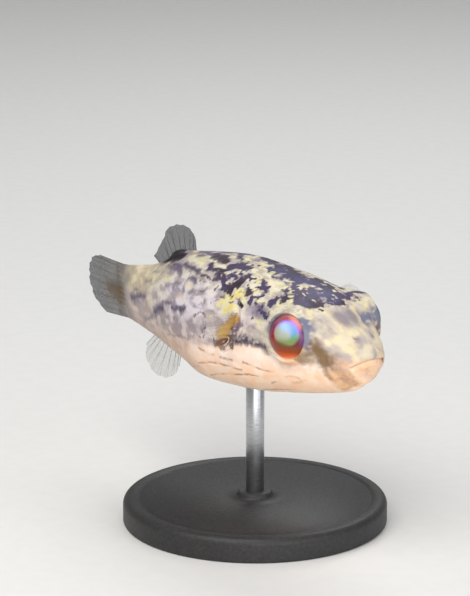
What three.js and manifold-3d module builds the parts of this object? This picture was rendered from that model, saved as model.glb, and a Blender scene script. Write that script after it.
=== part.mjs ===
// Life-size model of a dwarf freshwater pufferfish on a small display stand.
// Millimetres, +Z up. The origin is the centre of the stand's underside and the snout points to +X.
import * as THREE from 'three';
import { mergeVertices, toCreasedNormals } from 'three/addons/utils/BufferGeometryUtils.js';
import Module from 'manifold-3d';

const wasm = await Module();
wasm.setup();

const { degToRad, clamp, lerp } = THREE.MathUtils;

// ---- driving dimensions ----------------------------------------------------------------------
// A place on the fish is told by s, the distance behind the tip of the snout, and by an angle
// round the body: 0 on its left side, 90 degrees on its back, 180 on its right side.

const BODY_LENGTH = 39;       // snout to the root of the tail fin
const SNOUT_X = 17.5;         // x of the snout before the fish is tilted
const BODY_HEIGHT = 20;       // the midline over the floor
const PITCH = degToRad(4);    // snout up
const ROLL = degToRad(1.5);   // left side up
const GAP = 0.3;              // thin cuts between pieces

const BEND_START = 24;        // the rear body curves to the fish's left from here
const BEND_LENGTH = 22;
const BEND = degToRad(10);

const MOUTH_HEIGHT = -0.9;    // the mouth line, from the midline
const BLUNTNESS = 3.4;        // the snout rounds off within this length
const LIP_S = 1;              // full lips, with a shallow groove behind them
const LIP_SWELL = 0.07;       // as a share of the snout's size there
const GROOVE_S = 2.4;
const GROOVE_DEPTH = 0.035;
const LIP_WIDTH = 0.6;

// Profiles of the body along s, each a smooth curve through [s, value].
const crownHeight = curveThrough([
  [0, 1.2], [4, 3.1], [7.5, 4.75], [12, 5.65], [20, 6.55], [26, 6.05], [33, 3.9], [39, 2.9],
]);
const keelHeight = curveThrough([
  [0, -3.5], [4, -4.6], [9, -5.35], [16, -6], [22, -6.05], [26.5, -5.1], [33, -3.8], [39, -2.85],
]);
const halfWidth = curveThrough([
  [0, 2.5], [4, 3.6], [8, 4.75], [14.5, 5.9], [19, 5.8], [26, 4.2], [33, 2.15], [39, 0.75],
]);
const widestHeight = curveThrough([[0, -0.9], [10, -0.8], [20, -0.6], [30, -0.2], [39, 0.1]]);
const backSquareness = curveThrough([[0, 2], [6, 2.9], [10, 2.7], [16, 2.2], [39, 2]]);
const bellySquareness = curveThrough([[0, 2], [8, 2.3], [20, 2.35], [30, 2.1], [39, 2]]);

const EYE_S = 6.75;
const EYE_SIDE = 4.05;        // eyeball centre, from the midplane
const EYE_HEIGHT = 1.1;
const EYE_RADIUS = 2.35;      // of the flattened eyeball, in its own plane
const EYE_HALF_DEPTH = 1.6;
const EYE_OPENING = 2;        // radius of the opening in the skin
const EYE_FACING = [0.24, 0.95, 0.12];
const BROW_SWELL = 0.8;       // the orbit stands out by this much
const BROW_REACH = 2.9;

const SNOUT_END = 3;          // cuts between snout, head, trunk and tail stalk
const HEAD_END = 13.55;
const TRUNK_END = 27;
const BELLY_TOP = -1;         // the flank's pale border

const FIN_HALF_THICKNESS = 0.25;

const BASE_RADIUS = 13;
const BASE_THICKNESS = 2.5;
const BASE_BEVEL = 0.6;
const ROD_RADIUS = 0.9;
const ROD_DEPTH = 3;          // the rod's end sits this deep in the belly
const ROD_SOCKET_DEPTH = 1.2; // the rod's foot sits this deep in the base

// ---- curves ----------------------------------------------------------------------------------

// A smooth curve through a few points that never overshoots them.
function curveThrough(points) {
  const last = points.length - 1;
  const slope = (i) => (points[i + 1][1] - points[i][1]) / (points[i + 1][0] - points[i][0]);
  const tangents = points.map((point, i) => {
    if (i === 0) return slope(0);
    if (i === last) return slope(last - 1);
    const before = slope(i - 1);
    const after = slope(i);
    if (before * after <= 0) return 0;
    const stepBefore = point[0] - points[i - 1][0];
    const stepAfter = points[i + 1][0] - point[0];
    const weightBefore = 2 * stepAfter + stepBefore;
    const weightAfter = stepAfter + 2 * stepBefore;
    return (weightBefore + weightAfter) / (weightBefore / before + weightAfter / after);
  });
  return (where) => {
    const x = clamp(where, points[0][0], points[last][0]);
    const next = points.findIndex((point, i) => i > 0 && x <= point[0]);
    const i = next - 1;
    const step = points[next][0] - points[i][0];
    const t = (x - points[i][0]) / step;
    return (2 * t ** 3 - 3 * t ** 2 + 1) * points[i][1]
      + (t ** 3 - 2 * t ** 2 + t) * step * tangents[i]
      + (-2 * t ** 3 + 3 * t ** 2) * points[next][1]
      + (t ** 3 - t ** 2) * step * tangents[next];
  };
}

// The midline seen from above, as points a short step apart.
const MIDLINE_STEP = 0.25;
const midline = [{ x: SNOUT_X, y: 0, turn: 0 }];
for (let s = MIDLINE_STEP; s < BODY_LENGTH + 12; s += MIDLINE_STEP) {
  const before = midline.at(-1);
  const turn = BEND * clamp((s - BEND_START) / BEND_LENGTH, 0, 1) ** 1.3;
  const heading = (turn + before.turn) / 2;
  midline.push({
    x: before.x - MIDLINE_STEP * Math.cos(heading),
    y: before.y + MIDLINE_STEP * Math.sin(heading),
    turn,
  });
}

// The point beside the midline at s: y to the fish's left, z up.
function beside(s, y, z) {
  const place = clamp(s / MIDLINE_STEP, 0, midline.length - 2);
  const before = midline[Math.floor(place)];
  const after = midline[Math.floor(place) + 1];
  const t = place - Math.floor(place);
  const turn = lerp(before.turn, after.turn, t);
  return new THREE.Vector3(
    lerp(before.x, after.x, t) + y * Math.sin(turn),
    lerp(before.y, after.y, t) + y * Math.cos(turn),
    z,
  );
}

function eyeFacing(side) {
  return new THREE.Vector3(EYE_FACING[0], side * EYE_FACING[1], EYE_FACING[2]).normalize();
}

// The skin at s and at an angle round the body, let out by grow.
function skinPoint(s, angle, grow = 0) {
  const inset = 1 - clamp(s / BLUNTNESS, 0, 1);
  const lip = LIP_SWELL * Math.exp(-(((s - LIP_S) / LIP_WIDTH) ** 2));
  const groove = GROOVE_DEPTH * Math.exp(-(((s - GROOVE_S) / LIP_WIDTH) ** 2));
  const bluntness = Math.sqrt(1 - inset ** 2) * (1 + lip - groove);
  const fromMouth = (height) => MOUTH_HEIGHT + (height - MOUTH_HEIGHT) * bluntness;
  const middle = fromMouth(widestHeight(s));
  const cos = Math.cos(angle);
  const sin = Math.sin(angle);
  const isBack = sin > 0;
  const reach = isBack ? fromMouth(crownHeight(s)) - middle : middle - fromMouth(keelHeight(s));
  const roundness = 2 / (isBack ? backSquareness(s) : bellySquareness(s));
  const y = (halfWidth(s) * bluntness + grow) * Math.sign(cos) * Math.abs(cos) ** roundness;
  const z = middle + (reach + grow) * Math.sign(sin) * Math.abs(sin) ** roundness;
  const point = beside(s, y, z);
  for (const side of [-1, 1]) {
    const brow = beside(EYE_S, side * (EYE_SIDE + 0.25), EYE_HEIGHT + 0.5);
    const swell = BROW_SWELL * Math.exp(-((point.distanceTo(brow) / BROW_REACH) ** 4));
    point.addScaledVector(eyeFacing(side), swell);
  }
  return point;
}

// ---- solids ----------------------------------------------------------------------------------

function geometryOf(points, triangles) {
  const geometry = new THREE.BufferGeometry();
  geometry.setAttribute('position', new THREE.Float32BufferAttribute(points.flatMap((p) => p.toArray()), 3));
  geometry.setIndex(triangles.flat());
  return geometry;
}

// A closed tube through rings of points, the first ring in front, with flat ends.
function loft(rings) {
  const around = rings[0].length;
  const centre = (ring) => ring.reduce((sum, p) => sum.add(p), new THREE.Vector3()).divideScalar(around);
  const points = [...rings.flat(), centre(rings[0]), centre(rings.at(-1))];
  const front = points.length - 2;
  const rear = points.length - 1;
  const lastRing = (rings.length - 1) * around;
  const triangles = [];
  for (let j = 0; j < around; j += 1) {
    const next = (j + 1) % around;
    triangles.push([front, j, next], [rear, lastRing + next, lastRing + j]);
    for (let ring = 0; ring < lastRing; ring += around) {
      triangles.push([ring + j, ring + around + j, ring + around + next]);
      triangles.push([ring + j, ring + around + next, ring + next]);
    }
  }
  return geometryOf(points, triangles);
}

// A thin closed sheet whose middle surface is at(u, v), u across and v outwards, both 0 to 1.
function sheet(at, across, outwards, halfThickness) {
  const front = [];
  const back = [];
  const nudge = 1e-3;
  for (let i = 0; i <= across; i += 1) {
    for (let j = 0; j <= outwards; j += 1) {
      const u = i / across;
      const v = j / outwards;
      const alongU = at(u + nudge, v).sub(at(u - nudge, v));
      const alongV = at(u, v + nudge).sub(at(u, v - nudge));
      const normal = alongU.cross(alongV).normalize();
      front.push(at(u, v).addScaledVector(normal, halfThickness));
      back.push(at(u, v).addScaledVector(normal, -halfThickness));
    }
  }
  const index = (i, j) => i * (outwards + 1) + j;
  const behind = front.length;
  const triangles = [];
  for (let i = 0; i < across; i += 1) {
    for (let j = 0; j < outwards; j += 1) {
      const [a, b, c, d] = [index(i, j), index(i + 1, j), index(i + 1, j + 1), index(i, j + 1)];
      triangles.push([a, b, c], [a, c, d]);
      triangles.push([behind + a, behind + c, behind + b], [behind + a, behind + d, behind + c]);
    }
  }
  const rim = [];
  for (let i = 0; i < across; i += 1) rim.push(index(i, 0));
  for (let j = 0; j < outwards; j += 1) rim.push(index(across, j));
  for (let i = across; i > 0; i -= 1) rim.push(index(i, outwards));
  for (let j = outwards; j > 0; j -= 1) rim.push(index(0, j));
  rim.forEach((a, k) => {
    const b = rim[(k + 1) % rim.length];
    triangles.push([b, a, behind + a], [b, behind + a, behind + b]);
  });
  return geometryOf([...front, ...back], triangles);
}

function solid(geometry) {
  const bare = geometry.clone();
  bare.deleteAttribute('normal');
  bare.deleteAttribute('uv');
  const merged = mergeVertices(bare);
  return new wasm.Manifold(new wasm.Mesh({
    numProp: 3,
    vertProperties: new Float32Array(merged.attributes.position.array),
    triVerts: new Uint32Array(merged.index.array),
  }));
}

function geometryFrom(body) {
  const { vertProperties, triVerts } = body.getMesh();
  const geometry = new THREE.BufferGeometry();
  geometry.setAttribute('position', new THREE.BufferAttribute(new Float32Array(vertProperties), 3));
  geometry.setIndex(new THREE.BufferAttribute(new Uint32Array(triVerts), 1));
  return geometry;
}

// The block from fromS to toS along the body and from bottom to top, for cutting pieces out.
function block(fromS, toS, bottom, top) {
  const width = 30;
  const geometry = new THREE.BoxGeometry(toS - fromS, width, top - bottom);
  geometry.translate(SNOUT_X - (fromS + toS) / 2, 0, (bottom + top) / 2);
  return solid(geometry);
}

function part(name, geometry, colour, roughness, metalness = 0) {
  const material = new THREE.MeshStandardMaterial({ color: colour, roughness, metalness });
  const mesh = new THREE.Mesh(toCreasedNormals(geometry, degToRad(40)), material);
  mesh.name = name;
  return mesh;
}

// ---- body ------------------------------------------------------------------------------------

// The whole body's loft, with rings closer together on the snout.
function bodyLoft(grow = 0) {
  const RINGS = 40;
  const AROUND = 36;
  const TIP = 0.02;
  const rings = [];
  for (let i = 0; i <= RINGS; i += 1) {
    const s = TIP + (BODY_LENGTH - TIP) * (i / RINGS) ** 1.35;
    const ring = [];
    for (let j = 0; j < AROUND; j += 1) ring.push(skinPoint(s, (2 * Math.PI * j) / AROUND, grow));
    rings.push(ring);
  }
  return solid(loft(rings));
}

// A flattened eyeball, or its socket when it is let out by grow.
function eyeball(side, grow = 0) {
  const geometry = new THREE.SphereGeometry(1, 24, 14);
  const radius = EYE_RADIUS + grow;
  geometry.scale(radius, EYE_HALF_DEPTH + grow, radius);
  geometry.applyMatrix4(eyePlacement(side));
  return geometry;
}

// The eye's own y axis looks out of the head.
function eyePlacement(side) {
  const turn = new THREE.Quaternion().setFromUnitVectors(new THREE.Vector3(0, 1, 0), eyeFacing(side));
  const centre = beside(EYE_S, side * EYE_SIDE, EYE_HEIGHT);
  return new THREE.Matrix4().compose(centre, turn, new THREE.Vector3(1, 1, 1));
}

// The round opening in the skin in front of an eyeball.
function eyeOpening(side) {
  const LENGTH = 4;
  const geometry = new THREE.CylinderGeometry(EYE_OPENING, EYE_OPENING, LENGTH, 32);
  geometry.translate(0, LENGTH / 2, 0);
  geometry.applyMatrix4(eyePlacement(side));
  return geometry;
}

const wholeBody = bodyLoft();
const clearance = bodyLoft(GAP);

// The hole in the belly for the rod, upright once the fish is tilted.
const fish = new THREE.Group();
fish.position.z = BODY_HEIGHT;
fish.rotation.set(ROLL, -PITCH, 0, 'YXZ');
fish.updateMatrixWorld(true);

function upright(geometry) {
  return geometry.applyMatrix4(fish.matrixWorld.clone().invert());
}

function rodSocket(bottom, top) {
  const geometry = new THREE.CylinderGeometry(ROD_RADIUS + GAP, ROD_RADIUS + GAP, top - bottom, 32);
  geometry.rotateX(Math.PI / 2);
  geometry.translate(0, 0, (bottom + top) / 2);
  return upright(geometry);
}

// Where the belly's underside is over the origin, in the stand's own frame.
function bellyUnderside() {
  const rays = new THREE.Raycaster(new THREE.Vector3(0, 0, 0), new THREE.Vector3(0, 0, 1));
  const probe = new THREE.Mesh(geometryFrom(wholeBody), new THREE.MeshStandardMaterial());
  probe.geometry.applyMatrix4(fish.matrixWorld);
  return rays.intersectObject(probe)[0].point.z;
}

const rodTop = bellyUnderside() + ROD_DEPTH;

let flesh = wholeBody.subtract(solid(rodSocket(BASE_THICKNESS, rodTop + GAP)));
for (const side of [-1, 1]) {
  flesh = flesh.subtract(solid(eyeball(side, GAP))).subtract(solid(eyeOpening(side)));
}

const FAR = 20;
const HALF_GAP = GAP / 2;

function cut(fromS, toS, bottom = -FAR, top = FAR) {
  return geometryFrom(flesh.intersect(block(fromS, toS, bottom, top)));
}

fish.add(
  part('snout', cut(-FAR, SNOUT_END - HALF_GAP, MOUTH_HEIGHT + HALF_GAP), '#d8cdb0', 0.5),
  part('lower_jaw', cut(-FAR, SNOUT_END - HALF_GAP, -FAR, MOUTH_HEIGHT - HALF_GAP), '#e6c3a0', 0.5),
  part('head', cut(SNOUT_END + HALF_GAP, HEAD_END - HALF_GAP), '#a79ea2', 0.5),
  part('trunk', cut(HEAD_END + HALF_GAP, TRUNK_END - HALF_GAP, BELLY_TOP + HALF_GAP), '#8f8793', 0.5),
  part('belly', cut(HEAD_END + HALF_GAP, TRUNK_END - HALF_GAP, -FAR, BELLY_TOP - HALF_GAP), '#f0ccb2', 0.5),
  part('tail_stalk', cut(TRUNK_END + HALF_GAP, BODY_LENGTH + FAR), '#c4b2a3', 0.5),
);

for (const [side, name] of [[-1, 'right'], [1, 'left']]) {
  fish.add(part(`eye_${name}`, eyeball(side), '#8e3c42', 0.15));
}

// ---- fins ------------------------------------------------------------------------------------

const FIN_ROOT_DEPTH = 0.9;   // fins are drawn from this far inside the body, then cut to it

// The outer edge of a fin in the midplane, through points [s, height].
function edgeThrough(points) {
  return new THREE.SplineCurve(points.map((point) => new THREE.Vector2(...point)));
}

// A fin in the midplane, rays running from its root, given as [s, height] along u, to its edge.
function medianFin(name, root, edge, colour) {
  const at = (u, v) => {
    const along = clamp(u, 0, 1);
    const [rootS, rootHeight] = root(along);
    const tip = edge.getPoint(along);
    const beyond = beside(lerp(rootS, tip.x, v), 0, lerp(rootHeight, tip.y, v));
    return beyond.addScaledVector(new THREE.Vector3(-1, 0, 0), u - along);
  };
  const fin = solid(sheet(at, 14, 4, FIN_HALF_THICKNESS));
  return part(name, geometryFrom(fin.subtract(clearance)), colour, 0.45);
}

function dorsalRoot(u) {
  const s = lerp(26.3, 31.8, u);
  return [s, crownHeight(s) - FIN_ROOT_DEPTH];
}

function analRoot(u) {
  const s = lerp(29.6, 33.4, u);
  return [s, keelHeight(s) + FIN_ROOT_DEPTH];
}

function caudalRoot(u) {
  return [BODY_LENGTH + GAP, lerp(2.75, -2.7, u)];
}

const dorsalEdge = edgeThrough([[26.3, 7.2], [27, 8.2], [28.9, 8.5], [31, 7.8], [32.2, 6.3], [33.9, 4.6]]);
const analEdge = edgeThrough([[30.6, -6.3], [31.6, -7.4], [33.6, -8.1], [35.8, -7.7], [36.8, -6.4], [36.6, -5]]);
const caudalEdge = edgeThrough([[45.4, 3], [47.5, 2.4], [48.4, 0.9], [48.3, -0.6], [47.2, -2], [44.8, -3]]);

fish.add(
  medianFin('dorsal_fin', dorsalRoot, dorsalEdge, '#7d7c7a'),
  medianFin('anal_fin', analRoot, analEdge, '#8d8a80'),
  medianFin('caudal_fin', caudalRoot, caudalEdge, '#77726a'),
);

// The paired fins behind the gill slits, spread outwards and a little forwards, tips trailing.
// Each edge point is how far forwards, outwards and up its ray's tip is from its root.
const PECTORAL_ROOT_S = [13.9, 14.5];
const PECTORAL_ROOT_ANGLE = [degToRad(28), degToRad(3)];   // above the widest line, top and bottom
const PECTORAL_CURL = 1.2;
const pectoralEdge = new THREE.CatmullRomCurve3([
  new THREE.Vector3(1, 2.7, 0.7),
  new THREE.Vector3(1.1, 3.5, 0.6),
  new THREE.Vector3(1.3, 3.8, 0.3),
  new THREE.Vector3(1.5, 3.6, 0),
  new THREE.Vector3(1.7, 2.6, -0.1),
]);

function pectoralFin(side, name) {
  const at = (u, v) => {
    const s = lerp(...PECTORAL_ROOT_S, u);
    const above = lerp(...PECTORAL_ROOT_ANGLE, u);
    const tip = pectoralEdge.getPoint(clamp(u, 0, 1));
    const root = skinPoint(s, side > 0 ? above : Math.PI - above);
    root.x += tip.x * v + PECTORAL_CURL * v * (1 - v);
    root.y += side * (tip.y * v - FIN_ROOT_DEPTH * (1 - v));
    root.z += tip.z * v;
    return root;
  };
  const fin = solid(sheet(at, 10, 6, FIN_HALF_THICKNESS));
  return part(`pectoral_fin_${name}`, geometryFrom(fin.subtract(clearance)), '#bb9561', 0.45);
}

fish.add(pectoralFin(-1, 'right'), pectoralFin(1, 'left'));

// ---- display stand ---------------------------------------------------------------------------

function standBase() {
  const BORE_CLEARANCE = GAP;
  const profile = [
    [ROD_RADIUS + BORE_CLEARANCE, BASE_THICKNESS - ROD_SOCKET_DEPTH - BORE_CLEARANCE],
    [ROD_RADIUS + BORE_CLEARANCE, BASE_THICKNESS],
    [BASE_RADIUS - BASE_BEVEL, BASE_THICKNESS],
    [BASE_RADIUS, BASE_THICKNESS - BASE_BEVEL],
    [BASE_RADIUS, 0],
    [0, 0],
  ];
  profile.unshift([0, profile[0][1]]);
  const geometry = new THREE.LatheGeometry(profile.map((p) => new THREE.Vector2(...p)).reverse(), 60);
  return geometry.rotateX(Math.PI / 2);
}

function standRod() {
  const foot = BASE_THICKNESS - ROD_SOCKET_DEPTH;
  const geometry = new THREE.CylinderGeometry(ROD_RADIUS, ROD_RADIUS, rodTop - foot, 32);
  geometry.rotateX(Math.PI / 2);
  geometry.translate(0, 0, (foot + rodTop) / 2);
  return geometry;
}

const model = new THREE.Group();
model.add(
  fish,
  part('stand_base', geometryFrom(solid(standBase())), '#2b2a2a', 0.55),
  part('stand_rod', standRod(), '#b9bcc0', 0.3, 1),
);

export default model;
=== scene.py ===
import math
import bpy
import numpy as np
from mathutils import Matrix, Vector, noise


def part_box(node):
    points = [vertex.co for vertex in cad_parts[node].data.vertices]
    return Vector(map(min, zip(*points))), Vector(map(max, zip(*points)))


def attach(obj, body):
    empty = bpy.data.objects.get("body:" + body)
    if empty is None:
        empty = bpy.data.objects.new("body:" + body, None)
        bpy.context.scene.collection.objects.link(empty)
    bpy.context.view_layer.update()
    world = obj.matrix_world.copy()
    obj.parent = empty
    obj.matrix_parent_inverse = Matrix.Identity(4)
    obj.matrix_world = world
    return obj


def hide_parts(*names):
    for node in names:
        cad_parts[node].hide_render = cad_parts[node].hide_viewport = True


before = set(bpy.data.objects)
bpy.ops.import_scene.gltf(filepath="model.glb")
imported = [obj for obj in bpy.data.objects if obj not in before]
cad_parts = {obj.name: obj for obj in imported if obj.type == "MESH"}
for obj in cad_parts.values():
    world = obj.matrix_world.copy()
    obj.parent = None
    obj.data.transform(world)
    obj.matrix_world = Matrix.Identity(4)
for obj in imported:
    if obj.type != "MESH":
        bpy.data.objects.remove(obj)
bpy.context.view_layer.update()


# ---- the fish's skin ---------------------------------------------------------------------------
# One unbroken skin from inside the lips to the root of the tail fin: wet, scaleless and thin over
# soft flesh. It is drawn as rings round a bent midline, and the folds and pits are pressed into it.
# A place on it is s, millimetres behind the tip of the snout, and an angle round the body that is
# 0 on the fish's left side, 90 degrees on its back and 180 on its right side.

MM = 0.001
BODY_LENGTH = 39.0          # from the snout's tip to the root of the tail fin
SNOUT_X = 17.5              # the snout's tip, in front of the stand's middle
BODY_HEIGHT = 20.0          # the midline, above the floor
PITCH = math.radians(4.0)   # the snout is a little up
ROLL = math.radians(1.5)
BEND_START = 24.0           # behind here the midline bends to the fish's left
BEND_LENGTH = 22.0
BEND = math.radians(10.0)
MOUTH_HEIGHT = -0.9
BLUNTNESS = 3.4             # the snout rounds off over this length


def curve_through(points):
    """A smooth curve through a few points that never overshoots them."""
    xs, ys = np.array(points, float).T
    step = np.diff(xs)
    slope = np.diff(ys) / step
    tangent = np.zeros_like(ys)
    for i in range(1, len(xs) - 1):
        if slope[i - 1] * slope[i] > 0:
            before = 2 * step[i] + step[i - 1]
            after = step[i] + 2 * step[i - 1]
            tangent[i] = (before + after) / (before / slope[i - 1] + after / slope[i])
    tangent[0], tangent[-1] = slope[0], slope[-1]

    def value(x):
        x = np.clip(x, xs[0], xs[-1])
        i = np.clip(np.searchsorted(xs, x, side="right") - 1, 0, len(xs) - 2)
        t = (x - xs[i]) / step[i]
        return ((2 * t**3 - 3 * t**2 + 1) * ys[i] + (t**3 - 2 * t**2 + t) * step[i] * tangent[i]
                + (3 * t**2 - 2 * t**3) * ys[i + 1] + (t**3 - t**2) * step[i] * tangent[i + 1])
    return value


crown_height = curve_through(
    [(0, 1.2), (4, 3.1), (7.5, 4.75), (12, 5.65), (20, 6.55), (26, 6.05), (33, 3.9), (39, 2.9)])
keel_height = curve_through(
    [(0, -3.5), (4, -4.6), (9, -5.35), (16, -6), (22, -6.05), (26.5, -5.1), (33, -3.8), (39, -2.85)])
half_width = curve_through(
    [(0, 2.5), (4, 3.6), (8, 4.75), (14.5, 5.9), (19, 5.8), (26, 4.2), (33, 2.15), (39, 0.75)])
widest_height = curve_through([(0, -0.9), (10, -0.8), (20, -0.6), (30, -0.2), (39, 0.1)])
back_squareness = curve_through([(0, 2), (6, 2.9), (10, 2.7), (16, 2.2), (39, 2)])
belly_squareness = curve_through([(0, 2), (8, 2.3), (20, 2.35), (30, 2.1), (39, 2)])

midline_s = np.linspace(0, 51, 1021)
midline_turn = BEND * np.clip((midline_s - BEND_START) / BEND_LENGTH, 0, 1) ** 1.3
midline_step = midline_s[1] - midline_s[0]
midline_x = SNOUT_X - np.concatenate(
    [[0], np.cumsum(np.cos(midline_turn[1:]) + np.cos(midline_turn[:-1])) * midline_step / 2])
midline_y = np.concatenate(
    [[0], np.cumsum(np.sin(midline_turn[1:]) + np.sin(midline_turn[:-1])) * midline_step / 2])


def beside(s, y, z):
    """The point beside the midline at s: y to the fish's left, z up, before the fish is tilted."""
    turn = np.interp(s, midline_s, midline_turn)
    x = np.interp(s, midline_s, midline_x) + y * np.sin(turn)
    return np.stack(np.broadcast_arrays(x, np.interp(s, midline_s, midline_y) + y * np.cos(turn), z), -1)


def tilt(points):
    """Rolls and pitches the fish and lifts it to its height on the stand."""
    x, y, z = np.moveaxis(points, -1, 0)
    rolled_y = y * math.cos(ROLL) - z * math.sin(ROLL)
    rolled_z = y * math.sin(ROLL) + z * math.cos(ROLL)
    return np.stack([x * math.cos(PITCH) - rolled_z * math.sin(PITCH), rolled_y,
                     x * math.sin(PITCH) + rolled_z * math.cos(PITCH) + BODY_HEIGHT], -1)


def bump(distance, width):
    """1 at no distance, falling off softly over width."""
    return np.exp(-(distance / width) ** 2)


def section(s):
    """Half width, height of the widest line, reach up, reach down and squarenesses at s."""
    inset = 1 - np.clip(s / BLUNTNESS, 0, 1)
    lip = 0.07 * bump(s - 1, 0.6)
    groove = 0.035 * bump(s - 2.4, 0.6)
    bluntness = np.sqrt(1 - inset**2) * (1 + lip - groove)
    middle = MOUTH_HEIGHT + (widest_height(s) - MOUTH_HEIGHT) * bluntness
    up = MOUTH_HEIGHT + (crown_height(s) - MOUTH_HEIGHT) * bluntness - middle
    down = middle - MOUTH_HEIGHT - (keel_height(s) - MOUTH_HEIGHT) * bluntness
    return half_width(s) * bluntness, middle, up, down, back_squareness(s), belly_squareness(s)


def plain_skin(s, angle):
    """Side and height of the smooth body at s and angle, without folds."""
    width, middle, up, down, back, belly = section(s)
    cos, sin = np.cos(angle), np.sin(angle)
    roundness = 2 / np.where(sin > 0, back, belly)
    y = width * np.sign(cos) * np.abs(cos) ** roundness
    z = middle + np.where(sin > 0, up, down) * np.sign(sin) * np.abs(sin) ** roundness
    return y, z


# The lips meet in a slit, and the skin turns in over them.
MOUTH_HALF_WIDTH = 1.95
LIP_ROLLS = ((0.4, 0.6, 0.01), (0.25, 0.75, 0.012), (0.12, 0.9, 0.01), (0.05, 0.97, 0.006))
FACE_RINGS = 21
FACE_END = 1.6              # the front of the face is drawn as rings round the mouth as far as here

# Behind the last flesh the stalk thins out over the roots of the tail fin's rays.
TAIL_TAPER = 2.6
TAPER_EDGE = 0.025          # what is left of its width where it ends
CAUDAL_RAYS = 10
CAUDAL_ROOT_TOP = 2.75      # above the midline
CAUDAL_ROOT_HEIGHT = 5.45

AROUND = 256
angles = math.radians(-90) + np.arange(AROUND) * 2 * math.pi / AROUND


def slit_height(y):
    return MOUTH_HEIGHT + 0.04 - 0.54 * (y / MOUTH_HALF_WIDTH) ** 2


def face_place(y, z):
    """s and angle of the smooth snout's front at y, z, found by halving."""
    near, far = np.full_like(y, 0.0), np.full_like(y, 3.0)
    for _ in range(40):
        s = (near + far) / 2
        width, middle, up, down, back, belly = section(np.maximum(s, 1e-6))
        above = z > middle
        power = np.where(above, back, belly)
        reach = np.where(above, up, down)
        outside = (np.abs(y) / width) ** power + (np.abs(z - middle) / reach) ** power > 1
        near, far = np.where(outside, s, near), np.where(outside, far, s)
    cos = np.sign(y) * (np.abs(y) / width) ** (power / 2)
    sin = np.sign(z - middle) * (np.abs(z - middle) / reach) ** (power / 2)
    return s, np.arctan2(sin, cos)


def skin_rings():
    """Every ring's s, angle, y and z, and how deep it lies inside the mouth."""
    slit_y = MOUTH_HALF_WIDTH * np.cos(angles)
    slit_z = slit_height(slit_y)
    edge_y, edge_z = plain_skin(np.full(AROUND, FACE_END), angles)
    rows = []
    for depth, narrowing, opening in LIP_ROLLS:
        y = slit_y * narrowing
        z = slit_height(y) + opening * np.sin(angles)
        s, angle = face_place(y, z)
        rows.append((s, angle, y, z, np.full(AROUND, depth)))
    for share in np.arange(FACE_RINGS) / FACE_RINGS:
        y = slit_y + (edge_y - slit_y) * share
        z = slit_z + 0.006 * np.sin(angles) + (edge_z - slit_z) * share
        s, angle = face_place(y, z)
        rows.append((s, angle, y, z, np.zeros(AROUND)))
    fine_rings = np.linspace(FACE_END, 27, 250)
    coarse_rings = np.linspace(27, BODY_LENGTH + TAIL_TAPER, 72)[1:]
    for s in (*fine_rings, *coarse_rings):
        y, z = plain_skin(np.full(AROUND, min(s, BODY_LENGTH)), angles)
        rows.append((np.full(AROUND, s), angles.copy(), y, z, np.zeros(AROUND)))
    return [np.array(column) for column in zip(*rows)]


skin_s, skin_angle, skin_y, skin_z, mouth_depth = skin_rings()

beyond = np.clip((skin_s - BODY_LENGTH) / TAIL_TAPER, 0, 1)
skin_y = skin_y * (TAPER_EDGE + (1 - TAPER_EDGE) * (1 - beyond) ** 1.7)
skin_z = skin_z * (1 - 0.05 * beyond)
ray_number = CAUDAL_RAYS * (CAUDAL_ROOT_TOP - skin_z) / CAUDAL_ROOT_HEIGHT
along_rays = 0.28 * beyond * np.cos(2 * math.pi * ray_number)      # the flesh runs out along each ray
skin_local = beside(skin_s + mouth_depth + along_rays, skin_y, skin_z)

# The eyes: flattened balls that look outwards, a little forwards and up, under swollen brows.
EYE_S = 6.75
EYE_SIDE = {-1: 4.05, 1: 4.5}      # the left eye is turned out a little further than the right
EYE_HEIGHT = 1.2
EYE_RADIUS = 2.35
EYE_HALF_DEPTH = 1.6
EYE_OPENING = 2.22                 # from the eye's middle to the edge of its lid
eye_axis = {}
eye_centre = {}
for side, swelling, spread in ((-1, 0.8, 2.9), (1, 1.0, 3.05)):
    axis = np.array([0.24, 0.95 * side, 0.12])
    eye_axis[side] = axis / np.linalg.norm(axis)
    eye_centre[side] = beside(EYE_S, side * EYE_SIDE[side], EYE_HEIGHT)
    brow = beside(EYE_S, side * (EYE_SIDE[side] + 0.25), EYE_HEIGHT + 0.5)
    far = np.linalg.norm(skin_local - brow, axis=-1)
    swollen = swelling * np.exp(-(far / spread) ** 4)
    skin_local = skin_local + eye_axis[side] * swollen[..., None]


def outward_normals(points):
    along = np.gradient(points, axis=0)
    ahead = np.roll(points, -1, axis=1) - np.roll(points, 1, axis=1)
    normal = np.cross(along, ahead)
    return normal / np.maximum(np.linalg.norm(normal, axis=-1, keepdims=True), 1e-9)


normals = outward_normals(skin_local)
degrees = np.degrees(np.mod(skin_angle + math.pi / 2, 2 * math.pi) - math.pi / 2)
# flank degrees: 90 on the back, 180 on either side, 270 under the belly
flank = np.where(degrees < 90, 180 - degrees, degrees)
is_right = degrees > 90
local_mm = skin_local      # places on the skin before its folds, where the noise is read


def noise_field(points, size, seed):
    """Smooth noise from -1 to 1 with lumps of the given size, in millimetres."""
    flat = points.reshape(-1, 3) / size + seed
    values = np.array([noise.noise(Vector(p)) for p in flat])
    return values.reshape(points.shape[:-1])


def squared_far(path, s, round_body, radius):
    """How far each place is from a path of (s, degrees), in square millimetres."""
    nearest = np.full(skin_s.shape, 1e9)
    scale = np.radians(1) * radius
    for (s0, a0), (s1, a1) in zip(path, path[1:]):
        dx, dy = s1 - s0, (a1 - a0) * scale
        px, py = s - s0, ((round_body - a0 + 180) % 360 - 180) * scale
        t = np.clip((px * dx + py * dy) / (dx**2 + dy**2), 0, 1)
        nearest = np.minimum(nearest, (px - t * dx) ** 2 + (py - t * dy) ** 2)
    return nearest


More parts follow.
